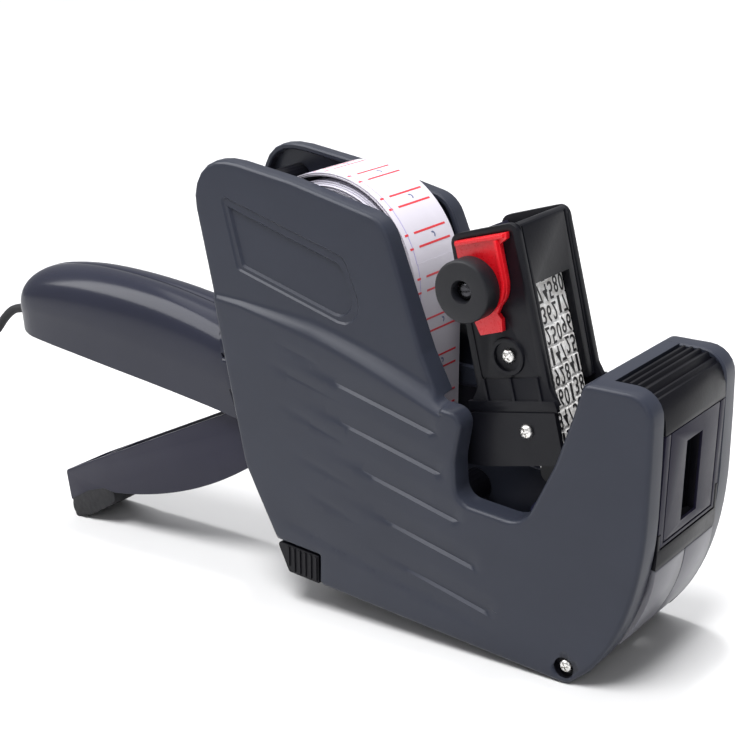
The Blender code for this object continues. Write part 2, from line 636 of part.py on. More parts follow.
def applicator(looks, tool):
    """The soft roller under the nose that presses each label down."""
    rubber, steel = looks
    sleeve("applicator_roller", APPLICATOR, 1.8, 4.4, -20.6, 20.6, rubber, tool, steps=22)
    rod("applicator_axle", APPLICATOR, 1.5, -16.2, 23.0, steel, tool, steps=12)


# ---- standing and wrist strap -----------------------------------------------------------------


def lowest(piece, tilt):
    """How low a piece reaches once the tool is tipped by tilt."""
    return min(v.co.z * math.cos(tilt) - v.co.x * math.sin(tilt) for v in piece.data.vertices)


def stand(tool, lever, cover):
    """Tips the tool nose down until it stands on its trigger and its nose, and centres its box."""
    low, high = 0.0, 0.4
    for _ in range(40):
        tilt = (low + high) / 2
        if lowest(lever, tilt) < lowest(cover, tilt):
            low = tilt
        else:
            high = tilt
    pieces = [o for o in tool.children if o.type == "MESH" and not o.hide_render]
    reach = [v.co.x * math.cos(tilt) + v.co.z * math.sin(tilt) for o in pieces for v in o.data.vertices]
    tool.rotation_euler.y = tilt
    tool.location = (-(min(reach) + max(reach)) / 2, 0, -lowest(lever, tilt))


def smooth(route, steps=3):
    """Points along a smooth curve through the route's own points."""
    points = [Vector(p) for p in route]
    points = [2 * points[0] - points[1], *points, 2 * points[-1] - points[-2]]
    made = []
    for a, b, c, d in zip(points, points[1:], points[2:], points[3:]):
        for k in range(steps):
            t = k / steps
            made.append(
                (2 * b + (c - a) * t + (2 * a - 5 * b + 4 * c - d) * t**2 + (3 * b - a - 3 * c + d) * t**3) / 2
            )
    return [*made, points[-2]]


def tube(name, points, radius, look, parent=None):
    """A round tube along points, in millimetres."""
    path = bpy.data.curves.new(name, "CURVE")
    path.dimensions = "3D"
    path.bevel_depth = radius * MM
    path.bevel_resolution = 2
    path.use_fill_caps = True
    line = path.splines.new("POLY")
    line.points.add(len(points) - 1)
    for point, place in zip(line.points, points):
        point.co = (*(Vector(place) * MM), 1)
    path.materials.append(look)
    made = bpy.data.objects.new(name, path)
    bpy.context.collection.objects.link(made)
    made.parent = parent
    return made


def strap(look):
    """The wrist strap: hanging from the grip to the floor, wound in a flat coil and knotted."""
    tube("strap_cord", smooth(STRAP_ROUTE), STRAP / 2, look)
    inner, outer = COIL_RADII
    section = [(inner, 0), (outer, 0), (outer, STRAP), (inner, STRAP)]
    coil = turned("strap_coil", section, (0, 0), look, None, 40, hollow=True)
    coil.rotation_euler.x = math.radians(90)
    coil.location = (COIL[0] * MM, COIL[1] * MM, 0)
    bm = bmesh.new()
    bmesh.ops.create_icosphere(bm, subdivisions=2, radius=3.0)
    add("strap_knot", bm, look, None).location = Vector(KNOT) * MM


def main():
    clear_scene()
    tool = empty("tool")
    head = empty("head", (HEAD_ORIGIN[0], 0, HEAD_ORIGIN[1]), -HEAD_LEAN, tool)
    casing = material("casing", (0.072, 0.078, 0.101), 0.5)
    grip = material("grip", (0.070, 0.076, 0.100), 0.22)
    black = material("black_plastic", (0.012, 0.012, 0.014), 0.4)
    knob = material("knob_plastic", (0.026, 0.028, 0.034), 0.55)
    red = material("red_plastic", (0.72, 0.012, 0.022), 0.35)
    satin = material("panel_satin", (0.06, 0.06, 0.075), 0.35)
    white = material("band_rubber", (0.80, 0.76, 0.72), 0.6)
    paper = material("label_paper", (0.82, 0.81, 0.88), 0.6)
    card = material("core_card", (0.45, 0.36, 0.26), 0.8)
    steel = material("steel", (0.6, 0.6, 0.62), 0.3, 1.0)
    felt = material("ink_felt", (0.02, 0.02, 0.05), 0.9)
    rubber = material("roller_rubber", (0.015, 0.015, 0.016), 0.8)
    braid = material("strap_braid", (0.02, 0.02, 0.022), 0.85)

    cover = side_cover("right_side_cover", -1, casing, tool)
    side_cover("left_side_cover", 1, casing, tool)
    frame_half("right_frame_half", -1, grip, tool)
    frame_half("left_frame_half", 1, grip, tool)
    front_cover(black, tool)
    window_panel(satin, tool)
    bottom_door(black, tool)
    reel((black, card, paper, steel), tool)
    label_tape(paper, tool)
    head_plates(black, head)
    head_front(black, head)
    bands((black, white), head)
    selector((knob, black, red, steel), head)
    screw("head_screw", (10.8, 12.0), -HEAD_HALF - 0.5, -1, steel, head, 3.0)
    print_arm(black, tool)
    screw("arm_screw", in_head(13.3, -7.7), -ARM_Y[1] - 0.3, -1, steel, tool, 3.0)
    lever = trigger_lever(grip, tool)
    rod("lever_pivot_pin", LEVER_PIVOT, 2.5, -15.6, 15.6, steel, tool)
    rod("arm_pivot_pin", ARM_PIVOT, 2.5, -15.6, 15.6, steel, tool)
    rod("link_pin", LINK_PIN, 2.0, -13.4, 13.4, steel, tool)
    return_spring(steel, tool)
    tape_drive((black, steel), tool)
    ink_unit((black, felt, steel), tool)
    applicator((rubber, steel), tool)
    screw("applicator_screw", APPLICATOR, -APPLICATOR_SEAT, -1, steel, tool, 5.2)
    screw("upper_case_screw", UPPER_SCREW, UPPER_SEAT, 1, steel, tool, 5.8)
    stand(tool, lever, cover)
    strap(braid)


main()
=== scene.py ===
"""Looks of the price labeling gun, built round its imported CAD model.

Shapes are worked out in millimetres in the tool's own axes: +X to the nose, +Z up, the label roll's
axis at x = 0 and the flat underside at z = 0. TOOL carries them to the frame, where the tool stands
tipped on its nose and trigger, and HEAD does so from the print head's axes, which lean back.
"""

import json
import math

import bmesh
import bpy
import numpy as np
from mathutils import Matrix, Vector
from mathutils.geometry import delaunay_2d_cdt
from mathutils.kdtree import KDTree


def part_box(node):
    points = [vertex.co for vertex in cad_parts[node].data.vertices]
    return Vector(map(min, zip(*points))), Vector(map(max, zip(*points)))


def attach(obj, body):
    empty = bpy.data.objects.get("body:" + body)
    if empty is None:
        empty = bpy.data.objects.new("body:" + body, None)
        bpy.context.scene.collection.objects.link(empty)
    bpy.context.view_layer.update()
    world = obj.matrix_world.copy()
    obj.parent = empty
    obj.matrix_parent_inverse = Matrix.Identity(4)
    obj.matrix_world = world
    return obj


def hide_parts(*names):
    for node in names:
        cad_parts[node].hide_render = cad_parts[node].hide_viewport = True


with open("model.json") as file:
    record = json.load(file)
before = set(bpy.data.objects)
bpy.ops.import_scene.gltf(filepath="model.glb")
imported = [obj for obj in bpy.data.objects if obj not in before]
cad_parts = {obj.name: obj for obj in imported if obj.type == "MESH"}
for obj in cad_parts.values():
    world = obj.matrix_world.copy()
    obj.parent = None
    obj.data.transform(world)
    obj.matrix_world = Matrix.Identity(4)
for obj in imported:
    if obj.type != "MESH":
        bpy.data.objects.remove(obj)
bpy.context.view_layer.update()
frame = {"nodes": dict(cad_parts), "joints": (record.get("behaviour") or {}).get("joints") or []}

MM = 0.001
WALL = 1.8  # moulded casing walls
EDGE = 1.3  # radius that rounds the side covers' outer edges
CHEEK_RIM_Y = 12.0  # inner end of the rims beside the label roll
BODY_RIM_Y = 16.2  # inner end of every other rim
ROLLER_RIM_Y = 20.95  # inner end of the rims beside the applicator roller
FRAME_Y = (14.0, 15.8)  # the plates inside the covers
NOSE_HALF = 15.9
LEVER_HALF = 9.7
TAPE_HALF = 10.5
ROLL = (0, 89.8)
ROLL_RADIUS = 28.8
WOUND_RADIUS = 25.6
CORE_RADIUS = 12.0
LABEL_PITCH = 12.0
GUIDE = (36, 28.6)
TAPE_Z = 23.4
APPLICATOR = (87.6, 4.9)
UPPER_SCREW = (14, 62)
HEAD_ORIGIN = (52.5, 66)
HEAD_LEAN = 15
HEAD_HALF = 12.5
HEAD_CHANNEL = 11.0  # half the width between the head's plates
# In the head's own axes: the knob, two screws, and the circles that the printing bands run round.
KNOB = (6.9, 31.3)
HEAD_SCREW = (10.8, 12.0)
ARM_SCREW = (13.3, -7.7)
BAND_TOP, BAND_LOW = (14.4, 28.6), (16.0, -19.9)
BAND_RADIUS = 4.2
BANDS = 6
STRAP = 0.0032

CASING, TRIGGER, PRINT_HEAD, SELECTOR, REEL = "casing", "trigger", "print_head", "selector", "label_reel"

# ---- frames -------------------------------------------------------------------------------------


def tool_matrix():
    """The tool's own axes in the frame, from where two of its joints lie in both."""
    places = {j["name"]: Vector(j["pos_m"]) for j in frame["joints"] if "pos_m" in j}
    reel, roller = places["reel_turn"], places["applicator_turn"]
    own = math.atan2(APPLICATOR[1] - ROLL[1], APPLICATOR[0] - ROLL[0])
    here = math.atan2(roller.z - reel.z, roller.x - reel.x)
    turn = Matrix.Rotation(own - here, 4, "Y") @ Matrix.Scale(MM, 4)
    return Matrix.Translation(reel - turn @ Vector((ROLL[0], 0, ROLL[1]))) @ turn


TOOL = tool_matrix()
HEAD = TOOL @ Matrix.Translation((HEAD_ORIGIN[0], 0, HEAD_ORIGIN[1]))
HEAD = HEAD @ Matrix.Rotation(math.radians(-HEAD_LEAN), 4, "Y")


def in_head(u, w):
    """A place in the head's own axes, in the tool's."""
    a = math.radians(HEAD_LEAN)
    return (
        HEAD_ORIGIN[0] + u * math.cos(a) - w * math.sin(a),
        HEAD_ORIGIN[1] + u * math.sin(a) + w * math.cos(a),
    )


# ---- outlines -----------------------------------------------------------------------------------


def bow(start, control, end, steps=14):
    """Points along a curved run from start to end, pulled towards control."""
    parts = [k / steps for k in range(steps + 1)]
    return [
        tuple((1 - t) ** 2 * a + 2 * t * (1 - t) * c + t * t * b for a, c, b in zip(start, control, end))
        for t in parts
    ]


def rounded(corners, steps=6):
    """A closed outline from (x, z) corners, those with a third number rounded to that radius."""
    outline = []
    for i, corner in enumerate(corners):
        here = Vector(corner[:2])
        if len(corner) == 2:
            outline.append(tuple(here))
            continue
        back = (Vector(corners[i - 1][:2]) - here).normalized()
        on = (Vector(corners[(i + 1) % len(corners)][:2]) - here).normalized()
        half = back.angle(on) / 2
        centre = here + (back + on).normalized() * corner[2] / math.sin(half)
        first = here + back * corner[2] / math.tan(half) - centre
        last = here + on * corner[2] / math.tan(half) - centre
        start = math.atan2(first.y, first.x)
        sweep = (math.atan2(last.y, last.x) - start + math.pi) % math.tau - math.pi
        for k in range(steps + 1):
            a = start + sweep * k / steps
            outline.append(tuple(centre + corner[2] * Vector((math.cos(a), math.sin(a)))))
    return outline


def resampled(outline, step, closed=True):
    """The same outline with no side longer than step and none of no length."""
    points = [Vector(p) for p in outline]
    ends = points[1:] + points[:1] if closed else points[1:]
    made = []
    for a, b in zip(points, ends):
        count = math.ceil((b - a).length / step)
        made += [a.lerp(b, k / count) for k in range(count) if (b - a).length > 0.02]
    return made if closed else made + [points[-1]]


def square(along):
    """The direction a quarter turn on from another."""
    return Vector((-along.y, along.x))


def heading(line, i):
    """Which way an open line runs at its point i."""
    return (line[min(i + 1, len(line) - 1)] - line[max(i - 1, 0)]).normalized()


def inward(points):
    """The direction into a closed outline at each of its points."""
    turn = math.copysign(1, sum(points[i - 1].cross(p) for i, p in enumerate(points)))
    made = []
    for i in range(len(points)):
        along = (points[(i + 1) % len(points)] - points[i - 1]).normalized()
        made.append(turn * square(along))
    return made


def inset(outline, depth):
    """The same outline, smaller by depth all round."""
    points = [Vector(p) for p in outline]
    points = [p for i, p in enumerate(points) if (p - points[i - 1]).length > 0.05]
    turn = math.copysign(1, sum(points[i - 1].cross(p) for i, p in enumerate(points)))
    made = []
    for i, here in enumerate(points):
        back = (here - points[i - 1]).normalized()
        on = (points[(i + 1) % len(points)] - here).normalized()
        normals = [turn * square(d) for d in (back, on)]
        middle = (normals[0] + normals[1]).normalized()
        made.append(here + middle * depth / max(0.4, middle.dot(normals[0])))
    return made


def ring(centre, radius, steps=32, start=0.0, sweep=360.0):
    """Points round a circle or, with a sweep in degrees, along part of one."""
    count = steps if sweep == 360.0 else steps + 1
    angles = [math.radians(start + sweep * k / steps) for k in range(count)]
    return [(centre[0] + radius * math.cos(a), centre[1] + radius * math.sin(a)) for a in angles]


def box(x0, x1, z0, z1):
    """A rectangle's corners."""
    return [(x0, z0), (x1, z0), (x1, z1), (x0, z1)]


def ramp(low, high, value):
    """Rises smoothly from 0 at low to 1 at high."""
    t = min(1.0, max(0.0, (value - low) / (high - low)))
    return t * t * (3 - 2 * t)


def through(stations, count):
    """Rows of numbers read from a smooth curve through the stations."""
    rows = [Vector(s) for s in stations]
    rows = [2 * rows[0] - rows[1], *rows, 2 * rows[-1] - rows[-2]]
    made = []
    for a, b, c, d in zip(rows, rows[1:], rows[2:], rows[3:]):
        for k in range(count):
            t = k / count
            cube = 3 * b - a - 3 * c + d
            made.append((2 * b + (c - a) * t + (2 * a - 5 * b + 4 * c - d) * t**2 + cube * t**3) / 2)
    return [*made, rows[-2]]


# ---- making objects -----------------------------------------------------------------------------


def link(name, data):
    """A new object in the scene."""
    made = bpy.data.objects.new(name, data)
    bpy.context.scene.collection.objects.link(made)
    return made


def add(name, bm, look, body, where=TOOL, sharp=38):
    """A piece from a mesh in millimetres, with its faces pointing out, riding on a body."""
    bmesh.ops.recalc_face_normals(bm, faces=bm.faces)
    mesh = bpy.data.meshes.new(name)
    bm.to_mesh(mesh)
    bm.free()
    mesh.transform(where)
    mesh.shade_smooth()
    mesh.set_sharp_from_angle(angle=math.radians(sharp))
    for one in look if isinstance(look, (list, tuple)) else [look]:
        mesh.materials.append(one)
    made = link(name, mesh)
    if body:
        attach(made, body)
    return made


def bridge(bm, rows):
    """Faces between closed rows of points, each row as long as the next."""
    made = []
    for one, two in zip(rows, rows[1:]):
        for i in range(len(one)):
            made.append(bm.faces.new((one[i - 1], one[i], two[i], two[i - 1])))
    return made


def span(side, a, b):
    """The two ends, in rising order, of what lies between a and b on one side of the tool."""
    return sorted((side * a, side * b))


def prism(name, outline, y0, y1, look, body, where=TOOL):
    """An outline in the XZ plane, extruded from y0 to y1."""
    return prisms(name, [(outline, y0, y1)], look, body, where)


def prisms(name, pieces, look, body, where=TOOL):
    """Several prisms as one object, each an outline and its two ends."""
    bm = bmesh.new()
    for outline, y0, y1 in pieces:
        ends = [[bm.verts.new((p[0], y, p[1])) for p in outline] for y in (y0, y1)]
        for verts in ends:
            bm.faces.new(verts)
        bridge(bm, ends)
    return add(name, bm, look, body, where)


def turned(name, profile, centre, look, body, where=TOOL, steps=64, hollow=False):
    """A body of revolution about the Y direction through centre, from (radius, y) points."""
    bm = bmesh.new()
    rows = [[bm.verts.new((x, y, z)) for x, z in ring(centre, r, steps)] for r, y in profile]
    if not hollow:
        bm.faces.new(rows[0])
        bm.faces.new(rows[-1])
    bridge(bm, [rows[-1], *rows] if hollow else rows)
    return add(name, bm, look, body, where)


def settle(piece):
    """Applies the piece's modifiers."""
    bpy.context.view_layer.update()
    graph = bpy.context.evaluated_depsgraph_get()
    mesh = bpy.data.meshes.new_from_object(piece.evaluated_get(graph))
    piece.modifiers.clear()
    piece.data = mesh
    return piece


def joined(piece, operation, *others):
    """The piece with the others cut out of it or joined on to it, and the others gone."""
    for other in others:
        step = piece.modifiers.new("join", "BOOLEAN")
        step.operation = operation
        step.solver = "EXACT"
        step.object = other
    settle(piece)
    for other in others:
        bpy.data.objects.remove(other, do_unlink=True)
    return piece


def tools(pieces, where=TOOL):
    """Prisms to be cut out of a piece or joined on to it, each an outline and its two ends."""
    return [prisms(f"tool{k}", [one], BLACK, None, where) for k, one in enumerate(pieces)]


def cut(piece, pieces, where=TOOL):
    """The piece with prisms cut out of it."""
    return joined(piece, "DIFFERENCE", *tools(pieces, where))


def fused(piece, pieces, where=TOOL):
    """The piece with prisms joined on to it."""
    return joined(piece, "UNION", *tools(pieces, where))


def bevel(piece, width, segments, angle):
    """Rounds edges sharper than an angle in degrees, to a width in millimetres."""
    step = piece.modifiers.new("edges", "BEVEL")
    step.width = width * MM
    step.segments = segments
    step.limit_method = "ANGLE"
    step.angle_limit = math.radians(angle)


def soften(piece, width, segments=2, angle=32):
    """The piece with its sharp edges rounded for good, as moulding leaves them."""
    bevel(piece, width, segments, angle)
    settle(piece)
    piece.data.shade_smooth()
    piece.data.set_sharp_from_angle(angle=math.radians(44))
    return piece


def stands_for(piece, slot, *nodes):
    """Hides the CAD nodes that the piece stands for, and hands the piece back; the slot is not used."""
    if nodes:
        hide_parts(*nodes)
    return piece


# ---- materials ----------------------------------------------------------------------------------


class Look:
    """A material under construction: a Principled shader and the nodes that feed it."""

    def __init__(self, name, roughness, metallic=0.0, specular=0.5):
        self.made = bpy.data.materials.new(name)
        self.made.use_nodes = True
        self.tree = self.made.node_tree
        self.shader = self.tree.nodes["Principled BSDF"]
        sockets = self.shader.inputs
        sockets["Roughness"].default_value = roughness
        sockets["Metallic"].default_value = metallic
        sockets["Specular IOR Level"].default_value = specular
        self.place = self.tree.nodes.new("ShaderNodeTexCoord").outputs["Object"]
        self.bump = None

    def node(self, kind, **values):
        """A new node with the given input values, by name or, for an output socket, linked."""
        made = self.tree.nodes.new("ShaderNode" + kind)
        for key, value in values.items():
            socket = made.inputs[int(key[1:])] if key[0] == "_" else made.inputs[key.replace("_", " ")]
            if isinstance(value, bpy.types.NodeSocket):
                self.tree.links.new(value, socket)
            else:
                socket.default_value = value
        return made

    def noise(self, scale, detail=3.0, roughness=0.55, stretch=(1, 1, 1)):
        place = self.node("Mapping", Vector=self.place, Scale=stretch).outputs[0]
        values = {"Scale": scale, "Detail": detail, "Roughness": roughness}
        return self.node("TexNoise", Vector=place, **values).outputs[0]

    def cells(self, scale):
        return self.node("TexVoronoi", Vector=self.place, Scale=scale).outputs["Distance"]

    def spread(self, value, low, high, start=0.3, end=0.7):
        ends = {"_1": start, "_2": end, "_3": low, "_4": high}
        return self.node("MapRange", _0=value, **ends).outputs[0]

    def colour(self, dark, light, value, start=0.3, end=0.7):
        """Base colour between two colours, as value goes from start to end."""
        steps = self.node("ValToRGB", Fac=value)
        for stop, place, tone in zip(steps.color_ramp.elements, (start, end), (dark, light)):
            stop.position = place
            stop.color = (*tone, 1)
        self.tree.links.new(steps.outputs[0], self.shader.inputs["Base Color"])

    def rough(self, value, low, high, start=0.3, end=0.7):
        self.tree.links.new(self.spread(value, low, high, start, end), self.shader.inputs["Roughness"])

    def raise_by(self, value, depth, strength=1.0):
        """Adds relief of the given depth in millimetres."""
        extra = {"Normal": self.bump} if self.bump else {}
        made = self.node("Bump", Strength=strength, Distance=depth * MM, Height=value, **extra)
        self.bump = made.outputs[0]
        self.tree.links.new(self.bump, self.shader.inputs["Normal"])


def shade(colour, by):
    return tuple(min(1.0, c * by) for c in colour)


def moulded(name, colour, roughness, grain=900, depth=0.05, mottle=0.07, scuffs=0.05, **more):
    """Moulded plastic: a fine spark-eroded grain, faint flow marks in the colour and rubbed patches."""
    look = Look(name, roughness, **more)
    flow = look.noise(28, 4.0, 0.6, (1, 1, 1.6))
    look.colour(shade(colour, 1 - mottle), shade(colour, 1 + mottle), flow)
    rubbed = look.noise(75, 6.0, 0.7)
    look.rough(rubbed, roughness + scuffs, roughness - scuffs, 0.35, 0.65)
    look.raise_by(look.noise(grain, 2.0), depth, 0.5)
    look.raise_by(look.noise(150, 2.0), depth * 1.4, 0.25)
    return look.made


def glossy(name, colour, roughness, **more):
    """Polished plastic, with the shallow waves of a moulding and hairline scratches from use."""
    look = Look(name, roughness, **more)
    look.colour(shade(colour, 0.94), shade(colour, 1.06), look.noise(22, 3.0))
    look.rough(look.noise(1300, 3.0, 0.6, (1, 7, 1)), roughness * 0.8, roughness * 1.35)
    look.raise_by(look.noise(45, 1.0), 0.10, 0.30)
    look.raise_by(look.noise(2400, 2.0, 0.5, (0.25, 1, 2.2)), 0.004, 0.35)
    return look.made


def metal(name, colour, roughness):
    """Turned or drawn steel: fine lines round it and a few darker specks."""
    look = Look(name, roughness, metallic=1.0)
    look.colour(shade(colour, 0.72), colour, look.noise(900, 4.0), 0.32, 0.5)
    look.rough(look.noise(700, 3.0), roughness * 0.7, roughness * 1.5)
    look.raise_by(look.noise(3500, 2.0, 0.5, (1, 12, 1)), 0.012, 0.6)
    return look.made


def paper(name, colour, fibre=0.03):
    """Coated paper: nearly smooth, with faint fibres and a slight unevenness of tone."""
    look = Look(name, 0.55)
    look.colour(shade(colour, 0.965), colour, look.noise(120, 5.0, 0.65))
    look.rough(look.noise(400, 3.0), 0.48, 0.66)
    look.raise_by(look.noise(2600, 3.0, 0.7, (1, 3, 1)), fibre, 0.35)
    return look.made


def rubbery(name, colour, roughness, pits=900):
    """Dull rubber or felt, with an open pitted surface."""
    look = Look(name, roughness, specular=0.35)
    look.colour(shade(colour, 0.6), shade(colour, 1.5), look.noise(420, 5.0, 0.7))
    look.rough(look.noise(260, 3.0), roughness - 0.1, roughness + 0.08)
    look.raise_by(look.cells(pits), 0.16, 0.6)
    look.raise_by(look.noise(2600, 3.0, 0.7), 0.05, 0.5)
    return look.made


def inked(name, colour):
    """Printed ink: solid, but with the paper's tooth showing through here and there."""
    look = Look(name, 0.5)
    look.colour(colour, shade(colour, 1.35), look.noise(3000, 4.0, 0.7), 0.45, 0.75)
    look.rough(look.noise(900, 2.0), 0.42, 0.6)
    look.raise_by(look.noise(2600, 2.0), 0.01, 0.4)
    return look.made


def woven(name, colour):
    """Braided nylon, whose strands' own threads catch the light."""
    look = Look(name, 0.7, specular=0.3)
    thread = look.noise(1800, 3.0, 0.6)
    look.colour(shade(colour, 0.5), shade(colour, 1.9), thread, 0.35, 0.7)
    look.rough(thread, 0.62, 0.85)
    look.raise_by(thread, 0.09, 0.8)
    return look.made


CASE = moulded("casing_plastic", (0.0232, 0.0262, 0.0378), 0.33, 900, 0.02, scuffs=0.01, specular=0.20)
GRIP = glossy("grip_gloss", (0.0190, 0.0205, 0.0320), 0.16, specular=0.16)
LEVER = moulded("lever_satin", (0.0175, 0.0172, 0.0300), 0.36, 1500, 0.02, specular=0.12)
# The lower nose's grey plastic, painted lighter than the grip's: painted reflection of the white floor and
# painted light from the right.
NOSE_GREY_PAINTED_SHEEN = moulded("nose_grey_painted_sheen", (0.085, 0.084, 0.100), 0.30, 1500, 0.008, 0.03, 0.02)
BLACK = moulded("black_plastic", (0.0040, 0.0040, 0.0058), 0.34, 1100, 0.03, specular=0.13)
HEAD_BLACK = moulded("head_plastic", (0.0046, 0.0048, 0.0072), 0.36, 1000, 0.04, specular=0.18)
KNOB_PLASTIC = moulded("knob_plastic", (0.0055, 0.0058, 0.0082), 0.50, 1300, 0.05, specular=0.3)
RED = glossy("red_plastic", (0.60, 0.007, 0.014), 0.28, specular=0.4)
PANEL = moulded("panel_satin", (0.0125, 0.0115, 0.0225), 0.34, 1500, 0.02, specular=0.10)
PAPER = paper("label_paper", (0.56, 0.535, 0.595))
PAPER_EDGE = paper("wound_paper", (0.54, 0.52, 0.60), 0.12)
CARD = paper("core_card", (0.36, 0.28, 0.19), 0.12)
STEEL = metal("plated_steel", (0.72, 0.71, 0.69), 0.24)
# Steel painted nearly black: painted shade for the spindle's end deep in the knob's bore; the band shaft
# inside the head takes it too.
STEEL_PAINTED_SHADE = metal("steel_painted_shade", (0.05, 0.05, 0.055), 0.25)
BAND_WHITE = rubbery("band_rubber", (0.90, 0.865, 0.82), 0.6, 700)
RUBBER = rubbery("roller_rubber", (0.009, 0.009, 0.010), 0.8)
# Black rubber of the trigger's pad, which also stands in for the shade on the hook's side: real pad and
# painted shade.
PAD_RUBBER_AND_SHADE = rubbery("pad_rubber_and_painted_shade", (0.008, 0.008, 0.010), 0.7, 500)
FELT = rubbery("ink_felt", (0.02, 0.02, 0.06), 0.92, 1200)
RED_INK = inked("red_ink", (0.56, 0.030, 0.040))
BLUE_INK = inked("blue_ink", (0.30, 0.27, 0.48))
MARK_INK = inked("mark_ink", (0.10, 0.12, 0.22))
BLACK_INK = inked("digit_ink", (0.012, 0.011, 0.012))
BRAID = woven("strap_braid", (0.012, 0.012, 0.014))


# ---- camera and wrist strap ---------------------------------------------------------------------


CAMERA_PLACE = (245.74, -301.95, 210.24)  # in the tool's own axes
CAMERA_AZIMUTH, CAMERA_ELEVATION = math.radians(38.33), math.radians(21.5)  # from those axes too
CAMERA_LENS = 69.08


def place_camera():
    """Above, to the right and in front, with the nose towards it."""
    azimuth, elevation = CAMERA_AZIMUTH, CAMERA_ELEVATION
    right = Vector((math.cos(azimuth), math.sin(azimuth), 0))
    back = Vector((math.sin(azimuth) * math.cos(elevation), -math.cos(azimuth) * math.cos(elevation), 0))
    back.z = math.sin(elevation)
    turn = Matrix((right, back.cross(right), back)).transposed()
    data = bpy.data.cameras.new("camera")
    data.lens = CAMERA_LENS
    data.sensor_width = 36
    data.clip_start, data.clip_end = 0.02, 20
    camera = link("camera", data)
    place = TOOL @ Vector(CAMERA_PLACE)
    camera.matrix_world = Matrix.Translation(place) @ (TOOL.to_3x3().normalized() @ turn).to_4x4()
    bpy.context.scene.camera = camera


STRAP_ROUTE = [  # as in the CAD model: from inside the grip to the floor beside the coil, in metres
    (-0.1190, 0.0, 0.0700),
    (-0.1260, 0.0, 0.0707),
    (-0.1310, 0.0, 0.0713),
    (-0.1360, 0.0, 0.0713),
    (-0.1410, 0.0, 0.0700),
    (-0.1460, 0.0, 0.0669),
    (-0.1504, -0.0003, 0.0629),
    (-0.1565, -0.0018, 0.0568),
    (-0.1620, -0.0036, 0.0495),
    (-0.1665, -0.0052, 0.0410),
    (-0.1700, -0.0064, 0.0315),
    (-0.1726, -0.0068, 0.0215),
    (-0.1750, -0.0062, 0.0120),
    (-0.1786, -0.0050, 0.0049),
    (-0.1847, -0.0038, 0.0019),
]
COIL = (-0.1966, -0.022)  # middle of the coil
COIL_OUTER = 0.0186  # the first turn's radius
COIL_PITCH = 0.0034  # how far each turn lies inside the last
COIL_ANGLE, COIL_END = math.radians(86), math.radians(720)  # where the cord meets the coil, and its knot
COIL_HOOK, KNOT_IN = math.radians(75), 0.0022  # the last stretch, which bends in to the knot
KNOT_SIZE, KNOT_CORD = 0.00085, 0.0014  # scale of the knot's winding, and its pulled cord's radius


def strap_line():
    """The strap's line: the route down to the floor, then the turns of the coil in to the knot."""
    line = [Vector(p) for p in through(STRAP_ROUTE[1:], 6)]
    steps = 120
    for k in range(1, steps + 1):
        angle = COIL_ANGLE + (COIL_END - COIL_ANGLE) * k / steps
        bend = max(0, 1 - (COIL_END - angle) / COIL_HOOK)
        radius = COIL_OUTER - COIL_PITCH * (angle - COIL_ANGLE) / math.tau - KNOT_IN * bend * bend
        place = COIL[0] + radius * math.cos(angle), COIL[1] + radius * math.sin(angle)
        line.append(Vector((*place, STRAP / 2)))
    return line


def evenly(line, step):
    """The line's points moved to lie step apart."""
    made, left = [line[0]], step
    for a, b in zip(line, line[1:]):
        length = (b - a).length
        while left <= length:
            made.append(a.lerp(b, left / length))
            left += step
        left -= length
    return made


def braided(name, line, radius, look):
    """A round braid along the line: two sets of strands cross over it, one over, one under."""
    sides, pitch, strands = 24, 0.0075, 4
    bm = bmesh.new()
    rows = []
    across = Vector((0, 1, 0))
    along = 0.0
    for i, here in enumerate(line):
        ahead = heading(line, i)
        across = (across - ahead * across.dot(ahead)).normalized()
        up = ahead.cross(across)
        turn = math.tau * along / pitch
        row = []
        for k in range(sides):
            a = math.tau * k / sides
            weave = max(abs(math.sin(strands * (a + turn) / 2)), abs(math.sin(strands * (a - turn) / 2)))
            reach = radius * (0.86 + 0.14 * weave)
            row.append(bm.verts.new(here + reach * (math.cos(a) * across + math.sin(a) * up)))
        rows.append(row)
        if i + 1 < len(line):
            along += (line[i + 1] - here).length
    bridge(bm, rows)
    bm.faces.new(rows[0])
    bm.faces.new(rows[-1])
    return add(name, bm, look, CASING, Matrix.Identity(4), 80)


def make_strap():
    line = evenly(strap_line(), 0.0009)
    cord = braided("wrist_strap", line, STRAP / 2, BRAID)
    stands_for(cord, "strap_braid", "strap_cord", "strap_coil")
    knot = make_knot()
    stands_for(knot, "strap_braid", "strap_knot")


def make_knot():
    """The overhand knot at the strap's end, as a short closed winding of the same cord."""
    low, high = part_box("strap_knot")
    centre = (low + high) / 2
    line = []
    steps = 96
    for k in range(steps):
        a = math.tau * k / steps
        x = 0.9 * math.sin(a) + 0.75 * math.sin(2 * a)
        y = 0.9 * math.cos(a) - 0.75 * math.cos(2 * a)
        line.append(centre + Vector((x, y, -0.8 * math.sin(3 * a))) * KNOT_SIZE)
    return braided("strap_end_knot", line + line[:2], KNOT_CORD, BRAID)


# ---- side covers --------------------------------------------------------------------------------

